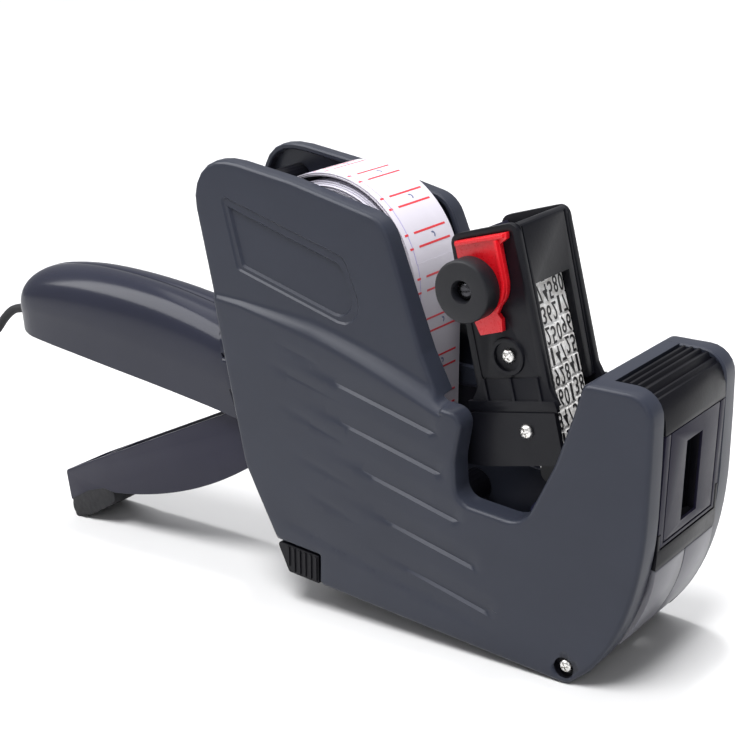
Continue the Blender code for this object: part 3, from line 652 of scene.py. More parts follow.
REAR_TOP, REAR_LOW = (-49.5, 118.4), (-24.2, 29.5)  # the ends of the covers' straight rear edge
NOSE_CURVE = bow((94.4, 5.8), (107.3, 23), (107.2, 52))
NOSE_TOP = [(107, 66), (106.4, 84, 7)]
COVER_OUTLINE = rounded(
    [(5.2, 0), (88.6, 0, 3.5), *NOSE_CURVE, *NOSE_TOP, (87.6, 83, 2.5), (85.2, 73.7), (81.1, 59.9, 20)]
    + [(72.8, 40.6, 8), (52.2, 40.9, 4.5), (51.2, 52, 15), (53.4, 65.6, 4), (43.8, 65.9, 3)]
    + [(37.3, 77.5, 8), (23.2, 111, 9), (-9, 116.4, 30), (-29, 118.4, 20), (*REAR_TOP, 12)]
    + [(*REAR_LOW, 14), (-11.4, 9.4), (5.2, 9.4)]
)
PANEL_RIM = rounded([(-35.4, 108.7, 1.5), (10.6, 98.8, 5), (20.9, 77.5, 6), (-28.5, 87.9, 2)], 5)
PANEL_FLOOR = rounded([(-32.6, 105.6), (9.3, 96.3, 5), (17.6, 79.6, 5), (-26.8, 89.0, 1.5)], 5)
LEDGES = [  # start, end; each is the lower edge of a hollow that deepens towards its end
    ((-13.3, 66.8), (46.3, 57.2)),
    ((-8.4, 55.3), (48.7, 46.3)),
    ((0.4, 43.0), (54.7, 34.4)),
    ((8.1, 30.7), (60.5, 22.7)),
    ((13.9, 18.9), (65.8, 10.8)),
]
TRACES = [  # the fainter lines that run ahead of the ledges
    ((-15.4, 70.2), (19.2, 63.6)),
    ((-19.2, 63.0), (17.6, 57.1)),
    ((-14.2, 51.7), (21.5, 44.5)),
    ((-8.2, 37.9), (25.3, 32.5)),
    ((-3.2, 27.7), (22.9, 22.6)),
]
LOW_STEP = ((-13.9, 15.8), (70.0, 4.6))
# For each line: its ends, its hollow's depth, rise and reach, and the shares where it is full and fades.
RELIEF = [(start, end, 0.78, 0.75, 6.6, 0.75, 0.94) for start, end in LEDGES]
RELIEF += [(start, end, 0.20, 0.60, 3.0, 0.40, 0.45) for start, end in TRACES]
RELIEF += [(*LOW_STEP, 0.34, 1.30, 9.0, 0.15, 0.80)]
# Rows of points along the step: the share of its height, and how far beyond that.
STEP_ROWS = ((0, -0.8), (0, 0), (0.25, 0), (0.5, 0), (0.75, 0), (1, 0), (1, 0.8))
STEP_START, STEP_LENGTH = -37, 83
PANEL_SINKS = (0.42, 0.70)  # the panel's rim below the face, and its floor below the rim
PANEL_SLOPE = 0.5  # how wide each of those two steps is
SKIN = WALL + 0.6  # how far the inner face lies below the casing's full width
RIM_CHAMFER = 0.45
FACE_GRID = (1.9, 1.65)  # spacing of the points across the plain parts of a face
SCREW_BORE = 2.9  # radius of the hole for a case screw's head
BORE_SIDES = 28


def step_top(x):
    """Height of the step's upper edge."""
    ahead = max(x, 0)
    return 79.3 - 0.15 * ahead - 0.0021 * ahead**2


def step_depth(x):
    """How far below that edge the step ends."""
    return max(1.6, 5.4 * min(1, (x + 38) / 38))


def half_width(x, z):
    """Half the casing's width at a place on its side: slim cheeks above a step, a full body below."""
    rearward = min(1, max(0, (45 - x) / 90))
    cheek = 17 + 0.05 * (118 - z)
    body = 24 - 0.02 * z - 0.045 * max(0, z - 10) * rearward
    share = 1 if x > 46 else (step_top(x) - z) / step_depth(x)
    return cheek + (body - cheek) * ramp(0, 1, share)


def distances(points, outline):
    """How far each point is from the nearest side of a closed outline."""
    p = np.array([tuple(q) for q in points])[:, None, :]
    a = np.array([tuple(q) for q in outline])[None, :, :]
    side = np.roll(a, -1, axis=1) - a
    share = np.clip(((p - a) * side).sum(2) / (side * side).sum(2), 0, 1)
    return np.linalg.norm(p - a - share[:, :, None] * side, axis=2).min(1)


def inside(points, outline):
    """Which points lie within a closed outline."""
    p = np.array([tuple(q) for q in points])
    a = np.array([tuple(q) for q in outline])
    b = np.roll(a, -1, axis=0)
    x, z = p[:, 0][:, None], p[:, 1][:, None]
    crossing = (a[:, 1] > z) != (b[:, 1] > z)
    rise = np.where(b[:, 1] == a[:, 1], 1e-9, b[:, 1] - a[:, 1])
    return ((crossing & (x < (b[:, 0] - a[:, 0]) * (z - a[:, 1]) / rise + a[:, 0])).sum(1) % 2) == 1


def signed(points, outline):
    """How deep each point lies inside a closed outline, and below zero outside it."""
    return np.where(inside(points, outline), 1, -1) * distances(points, outline)


def line_hollow(x, z):
    """How deep the hollows above the side's lines are at a place: a short rise, then a slow fall."""
    depth = 0.0
    for start, end, deepest, rise, reach, grown, fades in RELIEF:
        along = Vector(end) - Vector(start)
        rel = Vector((x, z)) - Vector(start)
        share = rel.dot(along) / along.length_squared
        above = along.cross(rel) / along.length
        if 0 < share < 1 and -0.01 < above < reach:
            ends = ramp(0, grown, share) * (1 - ramp(fades, 1, share))
            fall = (1 - max(0, (above - rise) / (reach - rise))) ** 1.2
            depth = max(depth, deepest * ends * min(1, (above + 0.01) / rise) * fall)
    return depth


def feature_points():
    """The places where the face's relief changes: (points, whether they form a closed loop)."""
    made = []
    for outline in (PANEL_RIM, PANEL_FLOOR):
        for depth in (0.0, 0.55):
            made.append((resampled(inset(outline, depth), 1.6), True))
    for start, end, _, rise, reach, _, _ in RELIEF:
        along = Vector(end) - Vector(start)
        up = square(along).normalized()
        for above in (0.0, rise, rise + (reach - rise) * 0.5, rise + (reach - rise) * 0.85, reach):
            places = [Vector(start) + along * k / 40 + up * above for k in range(41)]
            made.append((places, False))
    for share, beyond in STEP_ROWS:
        places = []
        for x in range(STEP_START, STEP_START + STEP_LENGTH):
            places.append(Vector((x, step_top(x) - step_depth(x) * share - beyond)))
        made.append((places, False))
    return made


def face_plan(outline, hole):
    """The cover's face as flat triangles, with points enough for its rounded edge and its relief."""
    points, edges = [], []

    def put(row, closed):
        """Adds a run of points joined by edges, leaving out any that are None."""
        places = {}
        for i, p in enumerate(row):
            if p is not None:
                places[i] = len(points)
                points.append(p)
        for i in range(len(row) if closed else len(row) - 1):
            j = (i + 1) % len(row)
            if i in places and j in places:
                edges.append((places[i], places[j]))

    put(outline, True)
    middle, reach = Vector(hole[0]), hole[1]
    put([Vector(p) for p in ring(middle, reach, BORE_SIDES)], True)
    for row, closed in feature_points():
        depth = signed(row, outline)
        put([p if d > EDGE + 0.15 else None for p, d in zip(row, depth)], closed)
    near = KDTree(len(points))
    for i, p in enumerate(points):
        near.insert((p.x, p.y, 0), i)
    near.balance()
    normals = inward(outline)
    for k in range(1, 7):
        away = EDGE * (1 - math.cos(math.radians(15 * k)))
        row = [p + n * away for p, n in zip(outline, normals)]
        points += [
            p
            for p, d in zip(row, signed(row, outline))
            if d > away - 0.03 and (p - middle).length > reach + 0.25 and near.find((p.x, p.y, 0))[2] > 0.05
        ]
    dx, dz = FACE_GRID
    grid = [Vector((-52 + dx * i + dx / 2 * (j % 2), dz * j)) for i in range(86) for j in range(73)]
    points += [
        p
        for p, d in zip(grid, signed(grid, outline))
        if d > EDGE + 0.7 and (p - middle).length > reach + 0.8 and near.find((p.x, p.y, 0))[2] > 0.8
    ]
    made = delaunay_2d_cdt(points, edges, [], 1, 1e-4)
    places, triangles = made[0], made[2]
    centre = [(places[a] + places[b] + places[c]) / 3 for a, b, c in triangles]
    return places, [t for t, c in zip(triangles, centre) if (c - middle).length > reach - 0.05]


def face_depths(places, outline):
    """How far below the casing's full width the face lies at each place."""
    edge = distances(places, outline)
    rim, floor = signed(places, PANEL_RIM), signed(places, PANEL_FLOOR)
    made = []
    for p, d, a, b in zip(places, edge, rim, floor):
        depth = 0.0
        if d < EDGE:
            depth = EDGE - math.sqrt(max(0, EDGE**2 - (EDGE - d) ** 2))
        for sink, within in zip(PANEL_SINKS, (a, b)):
            depth += sink * min(1, max(0, within / PANEL_SLOPE))
        made.append(depth + line_hollow(p.x, p.y))
    return made


def rim_y(x, z):
    """How far out the rim round a cover's edge begins, at a place on that edge."""
    if 82.4 < x < 98 and z < 9.9:
        return ROLLER_RIM_Y
    cheek = z > 84 or (z > 67 and -40 < x < 50)
    return CHEEK_RIM_Y if cheek else BODY_RIM_Y


def side_cover(name, side, screw, seat):
    """One moulded side, as a closed shell: its relief, rounded edge, rims and plain inner face."""
    outline = resampled(COVER_OUTLINE, 1.5)
    places, triangles = face_plan(outline, (screw, SCREW_BORE))
    bm = bmesh.new()
    face = []
    for p, depth in zip(places, face_depths(places, outline)):
        face.append(bm.verts.new((p.x, side * (half_width(p.x, p.y) - depth), p.y)))
    for t in triangles:
        bm.faces.new([face[i] for i in t])
    normals = inward(outline)
    rows = [face[: len(outline)]]
    turn = RIM_CHAMFER
    for away, lift in ((0, turn), (turn, 0), (WALL - turn, 0), (WALL, turn)):
        row = []
        for p, n in zip(outline, normals):
            q = p + n * away
            row.append(bm.verts.new((q.x, side * (rim_y(p.x, p.y) + lift), q.y)))
        rows.append(row)
    back = []
    for p, n in zip(outline, normals):
        q = p + n * WALL
        back.append(bm.verts.new((q.x, side * (half_width(q.x, q.y) - SKIN), q.y)))
    rows.append(back)
    bridge(bm, rows)
    # The screw bore's walls and floor take the black plastic: painted shade in the recess.
    bore = face[len(outline) : len(outline) + BORE_SIDES]
    floor = [bm.verts.new((v.co.x, side * seat, v.co.z)) for v in bore]
    bore_painted_shade = bridge(bm, [bore, floor]) + [bm.faces.new(floor)]
    for one in bore_painted_shade:
        one.material_index = 1
    skin(bm, back, side)
    return add(name, bm, (CASE, BLACK), CASING, sharp=30)


def skin(bm, back, side):
    """The inner face of a cover, across the loop of points where its rims end."""
    loop = [Vector((v.co.x, v.co.z)) for v in back]
    edges = [(i, (i + 1) % len(loop)) for i in range(len(loop))]
    grid = [Vector((-50 + 6.0 * i, 2 + 6.0 * j)) for i in range(27) for j in range(20)]
    grid = [p for p, d in zip(grid, signed(grid, loop)) if d > 2.5]
    made = delaunay_2d_cdt(loop + grid, edges, [], 1, 1e-4)
    verts = list(back)
    for p in made[0][len(loop) :]:
        verts.append(bm.verts.new((p.x, side * (half_width(p.x, p.y) - SKIN), p.y)))
    for t in made[2]:
        bm.faces.new([verts[i] for i in t])


def nose_bridge():
    """The grey band that joins the two covers behind the ridges."""
    outline = rounded([(86.3, 79.6), (93.0, 80.4), (93.0, 83.25), (88.3, 83.0, 1.8), (86.6, 80.8, 0.8)])
    piece = prism("nose_bridge", outline, -BODY_RIM_Y - 0.6, BODY_RIM_Y + 0.6, CASE, CASING)
    return stands_for(piece, "casing_grey")


def make_covers():
    right = side_cover("right_cover_shell", -1, APPLICATOR, 22.4)
    stands_for(right, "casing_grey", "right_side_cover")
    left = side_cover("left_cover_shell", 1, UPPER_SCREW, 20.6)
    stands_for(left, "casing_grey", "left_side_cover")
    nose_bridge()


# ---- grip, inner frame and lower nose -----------------------------------------------------------

HANDLE_STATIONS = [  # x, top, lower edge, half-width
    (-143.2, 53.4, 47.0, 3.0),
    (-141.6, 58.8, 43.5, 8.6),
    (-137.0, 63.0, 41.8, 11.0),
    (-128.0, 66.5, 41.4, 12.0),
    (-112.0, 69.1, 40.8, 12.3),
    (-94.0, 69.9, 40.0, 12.3),
    (-74.0, 69.2, 39.2, 12.3),
    (-56.0, 67.3, 38.4, 12.5),
    (-44.0, 65.4, 37.8, 12.8),
    (-37.0, 64.2, 37.4, 13.1),
    (-31.0, 63.2, 38.0, 13.4),
    (-26.5, 62.6, 39.4, 13.5),
]
FRAME_OUTLINE = rounded(
    [(-20.5, 27), (-9.5, 12.5), (8, 12.5), (8, 5.5), (81, 5.5), (83, 11), (94, 11.4), (100.2, 21)]
    + [(103.9, 36), (104.6, 52), (104.3, 66), (103.4, 80.6, 5), (90.4, 79.9), (87.8, 72.5)]
    + [(83.9, 59.4), (78.9, 47.4), (74.4, 37.6, 5), (50, 37.6, 3), (48, 62.5, 3), (-31.5, 62.5)]
)
FRAME_RIBS = (((-6, 50), (44, 59)), ((-14, 33), (4, 15)), ((60, 34), (96, 30)), ((58, 8), (66, 20)))
STRAP_EXIT = 45.6


def handle_half(stations, side, open_below=False):
    """Half of the grip as a solid, from its sections; one that is open below serves to hollow it."""
    bm = bmesh.new()
    rows = []
    points = 22
    for x, top, low, half in through(stations, 5):
        middle = (top + low) / 2
        forward = ramp(-137, -40, x)  # the section is rounder at the tail and squarer by the body
        row = [(x, -side if open_below else side * 0.12, top - (0 if open_below else 0.12))]
        if not open_below:
            row.append((x, side * 0.3, top))
        for k in range(1, points + 1):
            t = math.radians(90 - 106 * k / points)
            bulge = max(math.cos(t), 0) ** (0.84 - 0.32 * forward)
            height = math.copysign(abs(math.sin(t)) ** (0.9 - 0.1 * forward), math.sin(t))
            row.append((x, side * max(0.4, half * bulge), middle + (top - middle) * height))
        foot = low - 12 if open_below else low
        row += [(x, side * half * 0.93, foot), (x, row[0][1], foot)]
        rows.append([bm.verts.new(p) for p in row])
    bridge(bm, rows)
    bm.faces.new(rows[0])
    bm.faces.new(rows[-1])
    return bm


def grip_half(name, side):
    half = add(name, handle_half(HANDLE_STATIONS, side), GRIP, CASING)
    room = [(x, top - WALL, low, width - WALL) for x, top, low, width in HANDLE_STATIONS[2:-1]]
    first, last = room[0], HANDLE_STATIONS[-1]
    room = [(-139.2, first[1] - 1, first[2] + 6, first[3] - 1), *room]
    room.append((last[0] + 3, last[1] - WALL, last[2], last[3] - WALL))
    hollow = add(name + "_room", handle_half(room, side, True), GRIP, None)
    hole = bmesh.new()
    place = Matrix.Translation((-140, 0, STRAP_EXIT)) @ Matrix.Rotation(math.radians(90), 4, "Y")
    bmesh.ops.create_cone(
        hole, cap_ends=True, segments=28, radius1=2.05, radius2=2.05, depth=14, matrix=place
    )
    return joined(half, "DIFFERENCE", hollow, add(name + "_hole", hole, GRIP, None))


def rear_edge(z):
    """Where the covers' rear edge lies at a height."""
    (top_x, top), (low_x, low) = REAR_TOP, REAR_LOW
    return top_x + (top - z) * (low_x - top_x) / (top - low)


def grip_collar():
    """The narrow collar where the grip goes into the body, with a slot for a wrist cord on each side."""
    bm = bmesh.new()
    for side in (-1, 1):
        rows = []
        steps, low, high = 18, 38.2, 65.4
        for k in range(steps + 1):
            z = low + (high - low) * k / steps
            ends = math.sin(math.pi * (k / steps)) ** 0.35
            x = rear_edge(z)
            width = 12.9 + 3.0 * ends
            section = [(-7.9, 12.2), (-7.5, width - 0.9), (-6.6, width), (0.6, width), (1.4, 12.2)]
            rows.append([bm.verts.new((x + dx, side * y, z)) for dx, y in section])
        bridge(bm, rows)
        bm.faces.new(rows[0])
        bm.faces.new(rows[-1])
    collar = add("grip_collar", bm, GRIP, CASING)
    slots = []
    for side in (-1, 1):
        ends = span(side, 14.6, 18)
        slots.append((ring((rear_edge(58.5) - 6.2, 58.5), 0.9, 16), *ends))
        corners = ((41.5, -6.6), (41.5, -5.8), (48.5, -5.8), (48.5, -6.6))
        slots.append(([(rear_edge(z) + dx, z) for z, dx in corners], *ends))
    return joined(collar, "DIFFERENCE", prisms("collar_slots", slots, BLACK, None))


def frame_plate(name, side):
    """The plate inside a cover that carries the pivots."""
    plate = soften(prism(name, FRAME_OUTLINE, *span(side, *FRAME_Y), CASE, CASING), 0.25, 1)
    ribs = []
    near = span(side, FRAME_Y[1] - 0.4, FRAME_Y[1] + 0.3)
    for a, b in FRAME_RIBS:
        along = (Vector(b) - Vector(a)).normalized() * 0.6
        across = square(along)
        corners = [Vector(a) - across, Vector(b) - across, Vector(b) + across, Vector(a) + across]
        ribs.append((corners, *near))
    return joined(plate, "UNION", prisms(name + "_ribs", ribs, CASE, None))


def lower_nose(name, side):
    """Half of the curved wall under the nose's window."""
    outside = [p for p in bow((94.4, 5.8), (106.9, 22), (107.1, 35.9), 26) if p[1] > 10.8]
    within = [(p[0] - 2.4, p[1] + 0.9) for p in outside]
    ends = span(side, 0.18, FRAME_Y[1])
    # Its grey is painted lighter than the grip's: painted reflection and painted light on the lower nose.
    return soften(prism(name, outside + within[::-1], *ends, NOSE_GREY_PAINTED_SHEEN, CASING), 0.3, 2)


def make_frame():
    for name, side in (("right", -1), ("left", 1)):
        half = grip_half(name + "_grip_half", side)
        stands_for(half, "grip_grey", name + "_frame_half")
        stands_for(frame_plate(name + "_inner_plate", side), "casing_grey")
        stands_for(lower_nose(name + "_lower_nose", side), "grip_grey")
    stands_for(grip_collar(), "grip_grey")


# ---- trigger ------------------------------------------------------------------------------------


LEVER_PIVOT, LINK_PIN = (-8, 40), (10, 28)
PAD_PITCH, PAD_WAVE = 4.1, 0.55  # the waves of the trigger's rubber pad


def lever_outline():
    """The trigger's side view without the black pad under its hook, which also covers the hook's shaded
    side.
    """
    tail = [(-123.8, -6.2, 1.5), (-122.1, -17.2), (-112.5, -10.9, 6), (-104.5, -7.6, 4), (-98.8, -7.6)]
    belly = bow((-98.8, -7.6), (-62, 0.5), (-34.5, 21.0), 24)[1:]
    front = [(-22, 28.4), (-6, 31), (6, 22.6), (14.4, 22.8, 3), (15, 31.5, 3), (2, 39), (-3, 46.4, 4)]
    top = [(-13, 46.4, 4), (-17, 37.4, 2), (-29, 36.9, 3), (-37.5, 39.9, 3)]
    return rounded(tail + belly + front + top), belly


def make_trigger():
    outline, belly = lever_outline()
    lever = prism("trigger_shell", outline, -LEVER_HALF, LEVER_HALF, LEVER, TRIGGER)
    floor = [(x + 0.4, z + 2.2) for x, z in belly]
    room = [(-105.5, 6), (-104.5, -2.8), (-101, -4.4), (-98, -4.6), *floor, (-30, 26.5), (-26, 18)]
    room += [(40, 10), (40, 60), (-40, 60)]
    tip = [(-121.6, -4), (-121.2, -7.6), (-107, -3.4), (-107.5, 3)]
    bores = [(ring(LEVER_PIVOT, 2.8), -20, 20), (ring(LINK_PIN, 2.3), -20, 20)]
    cuts = tools([(room, -7.9, 7.9), (tip, -7.2, 7.2)])
    joined(lever, "DIFFERENCE", *cuts, prisms("bores", bores, BLACK, None))
    stands_for(soften(lever, 0.55, 3), "grip_grey", "trigger_lever")
    stands_for(trigger_pad_and_shade(), "roller_rubber")


def trigger_pad_and_shade():
    """The rubber grip pressed over the underside of the trigger's hook, in soft waves; its black reaches up
    the hook's side where shade falls: real pad and painted shade.
    """
    run = [(-122.0, -17.9), (-120.4, -23.7, 2.0), (-111.3, -19.8, 3), (-99.2, -11.7, 1.8), (-98.95, -8.0)]
    line = resampled(rounded(run, 8), 0.35, closed=False)
    outer, along = [], 0.0
    for i, p in enumerate(line):
        ahead = heading(line, i)
        if i:
            along += (p - line[i - 1]).length
        wave = 1 - abs(math.sin(math.pi * along / PAD_PITCH)) ** 0.6
        outer.append(p + square(ahead) * PAD_WAVE * wave)
    inner = bow((-103.5, -6.6), (-112.3, -9.9), (-121.6, -15.6), 12)
    half = LEVER_HALF - 0.1
    return soften(prism("trigger_pad_and_shade", outer + inner, -half, half, PAD_RUBBER_AND_SHADE, TRIGGER), 0.35, 2, 50)


# ---- nose and underside -------------------------------------------------------------------------

RIDGES = ((94.7, 83.3), (96.8, 83.45), (98.9, 83.5), (101.0, 83.1), (103.0, 82.0))


def front_cover():
    """The black nose cover: its ridged top, its upper front, and the band and prongs below the panel."""
    top = [(105.7, 79.0), (104.4, 81.0)]
    for x, z in reversed(RIDGES):
        top += [(x + 0.75, z - 1.0), (x + 0.28, z - 0.08), (x - 0.28, z), (x - 0.6, z - 0.9)]
    upper = [(107.05, 72.3), (107.0, 73.5), (106.7, 76.0), *top, (93.5, 82.3), (93.5, 80.9), (101.2, 80.9)]
    upper += bow((101.2, 80.9), (104.2, 80.0), (104.6, 76.4), 6)[1:] + [(104.6, 72.3)]
    shell = prism("nose_cover_shell", upper, -NOSE_HALF, NOSE_HALF, BLACK, CASING)
    low = bow((107.1, 36.2), (107.25, 39), (107.2, 41.4), 4) + [(104.9, 41.4), (104.9, 36.2)]
    parts = [(low, -NOSE_HALF, NOSE_HALF), (box(104.2, 106.2, 36.6, 75), -15.4, 15.4)]
    for side, top in ((-1, 45.6), (1, 48.2)):
        parts.append((box(104.9, 107.15, 41.3, top), *span(side, NOSE_HALF, 14.7)))
    cut(fused(shell, parts), [(box(100, 112, 45.4, 67.3), -4.3, 4.3)])
    return stands_for(soften(shell, 0.16, 2, 40), "black_plastic", "front_cover")


def window_panel():
    """The satin panel across the nose, with a groove round its middle and the slot that shows the label."""
    panel = prism("nose_panel", box(106.35, 107.1, 41.9, 72.0), -15.7, 15.7, PANEL, CASING)
    cuts = [(box(100, 112, 45.5, 67.2), -4.2, 4.2)]
    notch = [(box(104, 110, 40, 45.9), -17, -14.5), (box(104, 110, 40, 48.5), 14.5, 17)]
    groove = [(box(106.6, 110, 43.2, 75), *span(side, 12.7, 13.25)) for side in (-1, 1)]
    groove.append((box(106.6, 110, 42.7, 43.25), -13.2, 13.2))
    cut(panel, cuts + notch + groove)
    return stands_for(soften(panel, 0.14, 2, 40), "panel_satin", "window_panel")


def applicator_roller():
    """The soft roller, with fine rings round it."""
    profile = [(1.8, -20.6), (4.0, -20.6), (4.3, -20.3)]
    rings = 30
    for k in range(rings):
        y = -20.0 + 40.0 * k / rings
        profile += [(4.4, y), (4.4, y + 0.75), (4.22, y + 0.95), (4.22, y + 1.2)]
    profile += [(4.3, 20.3), (4.0, 20.6), (1.8, 20.6)]
    piece = turned("applicator_sleeve", profile, APPLICATOR, RUBBER, "applicator", steps=72, hollow=True)
    return stands_for(piece, "roller_rubber", "applicator_roller")


# ---- print head ---------------------------------------------------------------------------------


def head_plate(name, side):
    """One side of the head: a raised rim round a sunk face, a foot with ribs, and its holes."""
    outline = [(-4.2, -1.0), (23.2, -1.6), (21.6, 3.4, 4), (21, 46, 2.8), (0.2, 44.6, 2.8), (-0.6, 3.6, 4)]
    low, high = span(side, HEAD_CHANNEL - 0.3, HEAD_HALF)
    plate = prism(name, rounded(outline), low, high, HEAD_BLACK, PRINT_HEAD, HEAD)
    sunk = rounded([(1.5, 6.2, 1), (19.4, 6.2, 1), (19.5, 44.4, 2), (1.5, 43.2, 2)])
    outer = span(side, HEAD_HALF - 0.35, HEAD_HALF + 2)
    cuts = [(sunk, *outer), (ring(KNOB, 3.4), low - 1, high + 1)]
    cut(plate, cuts, HEAD)
    ribs = []
    near = span(side, HEAD_HALF - 0.6, HEAD_HALF + 0.75)
    for u in (2.3, 10.6, 18.8):
        ribs.append(([(u - 0.45, -0.6), (u + 0.45, -0.6), (u + 0.35, 6.4), (u - 0.35, 6.4)], *near))
    ribs.append(([(-4.0, -2.3), (23.3, -2.9), (22.9, 0.1), (-3.9, 0.6)], *near))
    parts = tools(ribs, HEAD)
    if side < 0:
        boss = [(4.9, -HEAD_HALF - 0.35), (5.3, -11.6), (5.3, -11.0)]
        parts.append(turned("boss", boss, HEAD_SCREW, BLACK, None, HEAD))
    joined(plate, "UNION", *parts)
    if side < 0:
        bored = [(1.5, -9), (1.5, -11.7), (3.9, -11.7), (3.9, -14)]
        joined(plate, "DIFFERENCE", turned("bore", bored, HEAD_SCREW, BLACK, None, HEAD, 48))
    return soften(plate, 0.3, 2, 40)


def head_channel():
    """What joins the head's plates: its front with the window, and the sloping wall behind."""
    front = rounded([(18.9, 0.5), (21, 0.5), (21, 46, 1.6), (18.9, 45.5)])
    ends = (-HEAD_CHANNEL, HEAD_CHANNEL)
    front = prism("head_front_wall", front, *ends, HEAD_BLACK, PRINT_HEAD, HEAD)
    cuts = [(box(17, 23, -2, 29.6), -8.8, 6.9)]
    cuts += [(box(20.65, 23, 1, 44.6), y - 0.3, y + 0.3) for y in (-10.3, 9.6)]
    stands_for(soften(cut(front, cuts, HEAD), 0.2, 2, 40), "black_plastic", "head_front")
    rear = [(-0.3, 6), (1.3, 6), (3.7, 41), (2.1, 43.6)]
    rear = prism("head_rear_wall", rear, *ends, PANEL, PRINT_HEAD, HEAD)
    stands_for(soften(rear, 0.3, 2, 40), "black_plastic", "head_rear")


def retainer():
    """The red clip that keeps the knob's shaft in: a plate hooked round the knob, with a lip."""
    curve = bow((15.9, 31.5), (15.5, 27.4), (12.4, 25.4), 10)
    outline = rounded([(2.2, 43.0), (18.4, 43.9), (18.2, 42.3), (15.9, 41.2)]) + curve
    outline += [(11.2, 23.6), (12.2, 22.1), (11.7, 18.9), (4.7, 18.2), (3.7, 21.5), (2.5, 26)]
    clip = prism("knob_clip", outline, -HEAD_HALF - 1.3, -HEAD_HALF + 0.2, RED, PRINT_HEAD, HEAD)
    within = [(p[0] - 0.9, p[1] + 0.15) for p in reversed(curve)]
    outer = [(p[0] - 0.12, p[1] + 0.03) for p in curve]
    lip = [(14.9, 42.3), (15.75, 42.3), *outer, *within]
    top = [(2.5, 42.75), (17.6, 43.6), (17.6, 42.7), (2.5, 41.8)]
    parts = [(lip, -HEAD_HALF - 2.5, -HEAD_HALF - 0.5), (top, -HEAD_HALF - 1.9, -HEAD_HALF - 0.5)]
    cut(fused(clip, parts, HEAD), [(ring(KNOB, 2.9), -HEAD_HALF - 4, -HEAD_HALF + 2)], HEAD)
    return stands_for(soften(clip, 0.28, 3, 40), "red_plastic", "shaft_retainer")


def knob():
    """The selector knob: a plain drum with a stepped bore, softly rounded."""
    profile = [(2.75, -16.2), (2.75, -20.6), (3.1, -21.25), (7.45, -21.5), (7.85, -21.38), (8.08, -21.1)]
    profile += [(8.15, -20.7), (8.15, -16.1), (7.9, -15.7), (7.4, -15.6), (3.4, -15.6), (2.75, -15.9)]
    piece = turned("selector_drum", profile, KNOB, KNOB_PLASTIC, SELECTOR, HEAD, 96, True)
    stands_for(piece, "knob_plastic", "selector_knob")
    spindle = [(0.4, -19.7), (1.1, -19.75), (1.9, -19.5), (2.3, -19.1), (2.4, -18.5)]
    spindle += [(2.4, 9.1), (2.0, 9.5)]
    # The spindle's steel is painted dark: painted shade of the deep bore it sits in.
    piece = turned("selector_spindle", spindle, KNOB, STEEL_PAINTED_SHADE, SELECTOR, HEAD, 40)
    key = box(KNOB[0] - 1.6, KNOB[0] + 1.6, KNOB[1] - 0.35, KNOB[1] + 0.35)
    cut(piece, [(key, -20.4, -19.0)], HEAD)
    stands_for(soften(piece, 0.12, 2, 40), "steel", "selector_shaft")


SLOT_HALF = 0.26  # half the width of the cross in a screw's head


def screw(name, centre, y_head, side, body, where, node, reach):
    """A cross-head screw: its domed head's outer face lies at y_head."""
    shape = [(0.6, 0), (1.15, 0.1), (1.6, 0.35), (1.9, 0.75), (2.0, 1.1), (1.95, 1.3), (1.2, 1.35)]
    shape += [(1.2, reach), (0.5, reach + 0.8)]
    profile = [(radius, y_head - side * depth) for radius, depth in shape]
    piece = turned(name, profile, centre, STEEL, body, where, 40)
    slots = []
    ends = sorted((y_head + side * 1, y_head - side * 0.75))
    for a in (28, 118):
        along = Vector((math.cos(math.radians(a)), math.sin(math.radians(a))))
        across = square(along) * SLOT_HALF
        middle, half = Vector(centre), along * 1.25
        corners = [middle - half - across, middle + half - across]
        corners += [middle + half + across, middle - half + across]
        slots.append((corners, *ends))
    return stands_for(soften(cut(piece, slots, where), 0.07, 2, 40), "steel", node)


def belt_point(s, out):
    """A place on a band's loop in the head's axes, s mm on from the lower circle, out mm proud of it."""
    top, low = Vector(BAND_TOP), Vector(BAND_LOW)
    up = (top - low).normalized()
    outward = Vector((up.y, -up.x))
    run, arc = (top - low).length, math.pi * BAND_RADIUS
    reach = BAND_RADIUS + out
    if s < run:
        return low + up * s + outward * reach
    if s < run + arc:
        a = (s - run) / BAND_RADIUS
        return top + (outward * math.cos(a) + up * math.sin(a)) * reach
    if s < 2 * run + arc:
        return top - up * (s - run - arc) - outward * reach
    a = (s - 2 * run - arc) / BAND_RADIUS
    return low - (outward * math.cos(a) + up * math.sin(a)) * reach


def digit(text, height, width):
    """A digit's flat shape, as triangles of points about its middle, in millimetres."""
    data = bpy.data.curves.new("digit", "FONT")
    data.body = text
    data.resolution_u = 3
    data.offset = 0.006
    made = link("digit", data)
    bpy.context.view_layer.update()
    mesh = bpy.data.meshes.new_from_object(made)
    places = [Vector(v.co[:2]) for v in mesh.vertices]
    low = Vector((min(p.x for p in places), min(p.y for p in places)))
    high = Vector((max(p.x for p in places), max(p.y for p in places)))
    size = high - low
    if text == "1":
        width *= 0.5
    places = [Vector(((p.x - low.x) / size.x - 0.5, (p.y - low.y) / size.y - 0.5)) for p in places]
    places = [Vector((p.x * width, p.y * height)) for p in places]
    faces = [tuple(f.vertices) for f in mesh.polygons]
    bpy.data.objects.remove(made, do_unlink=True)
    return places, faces


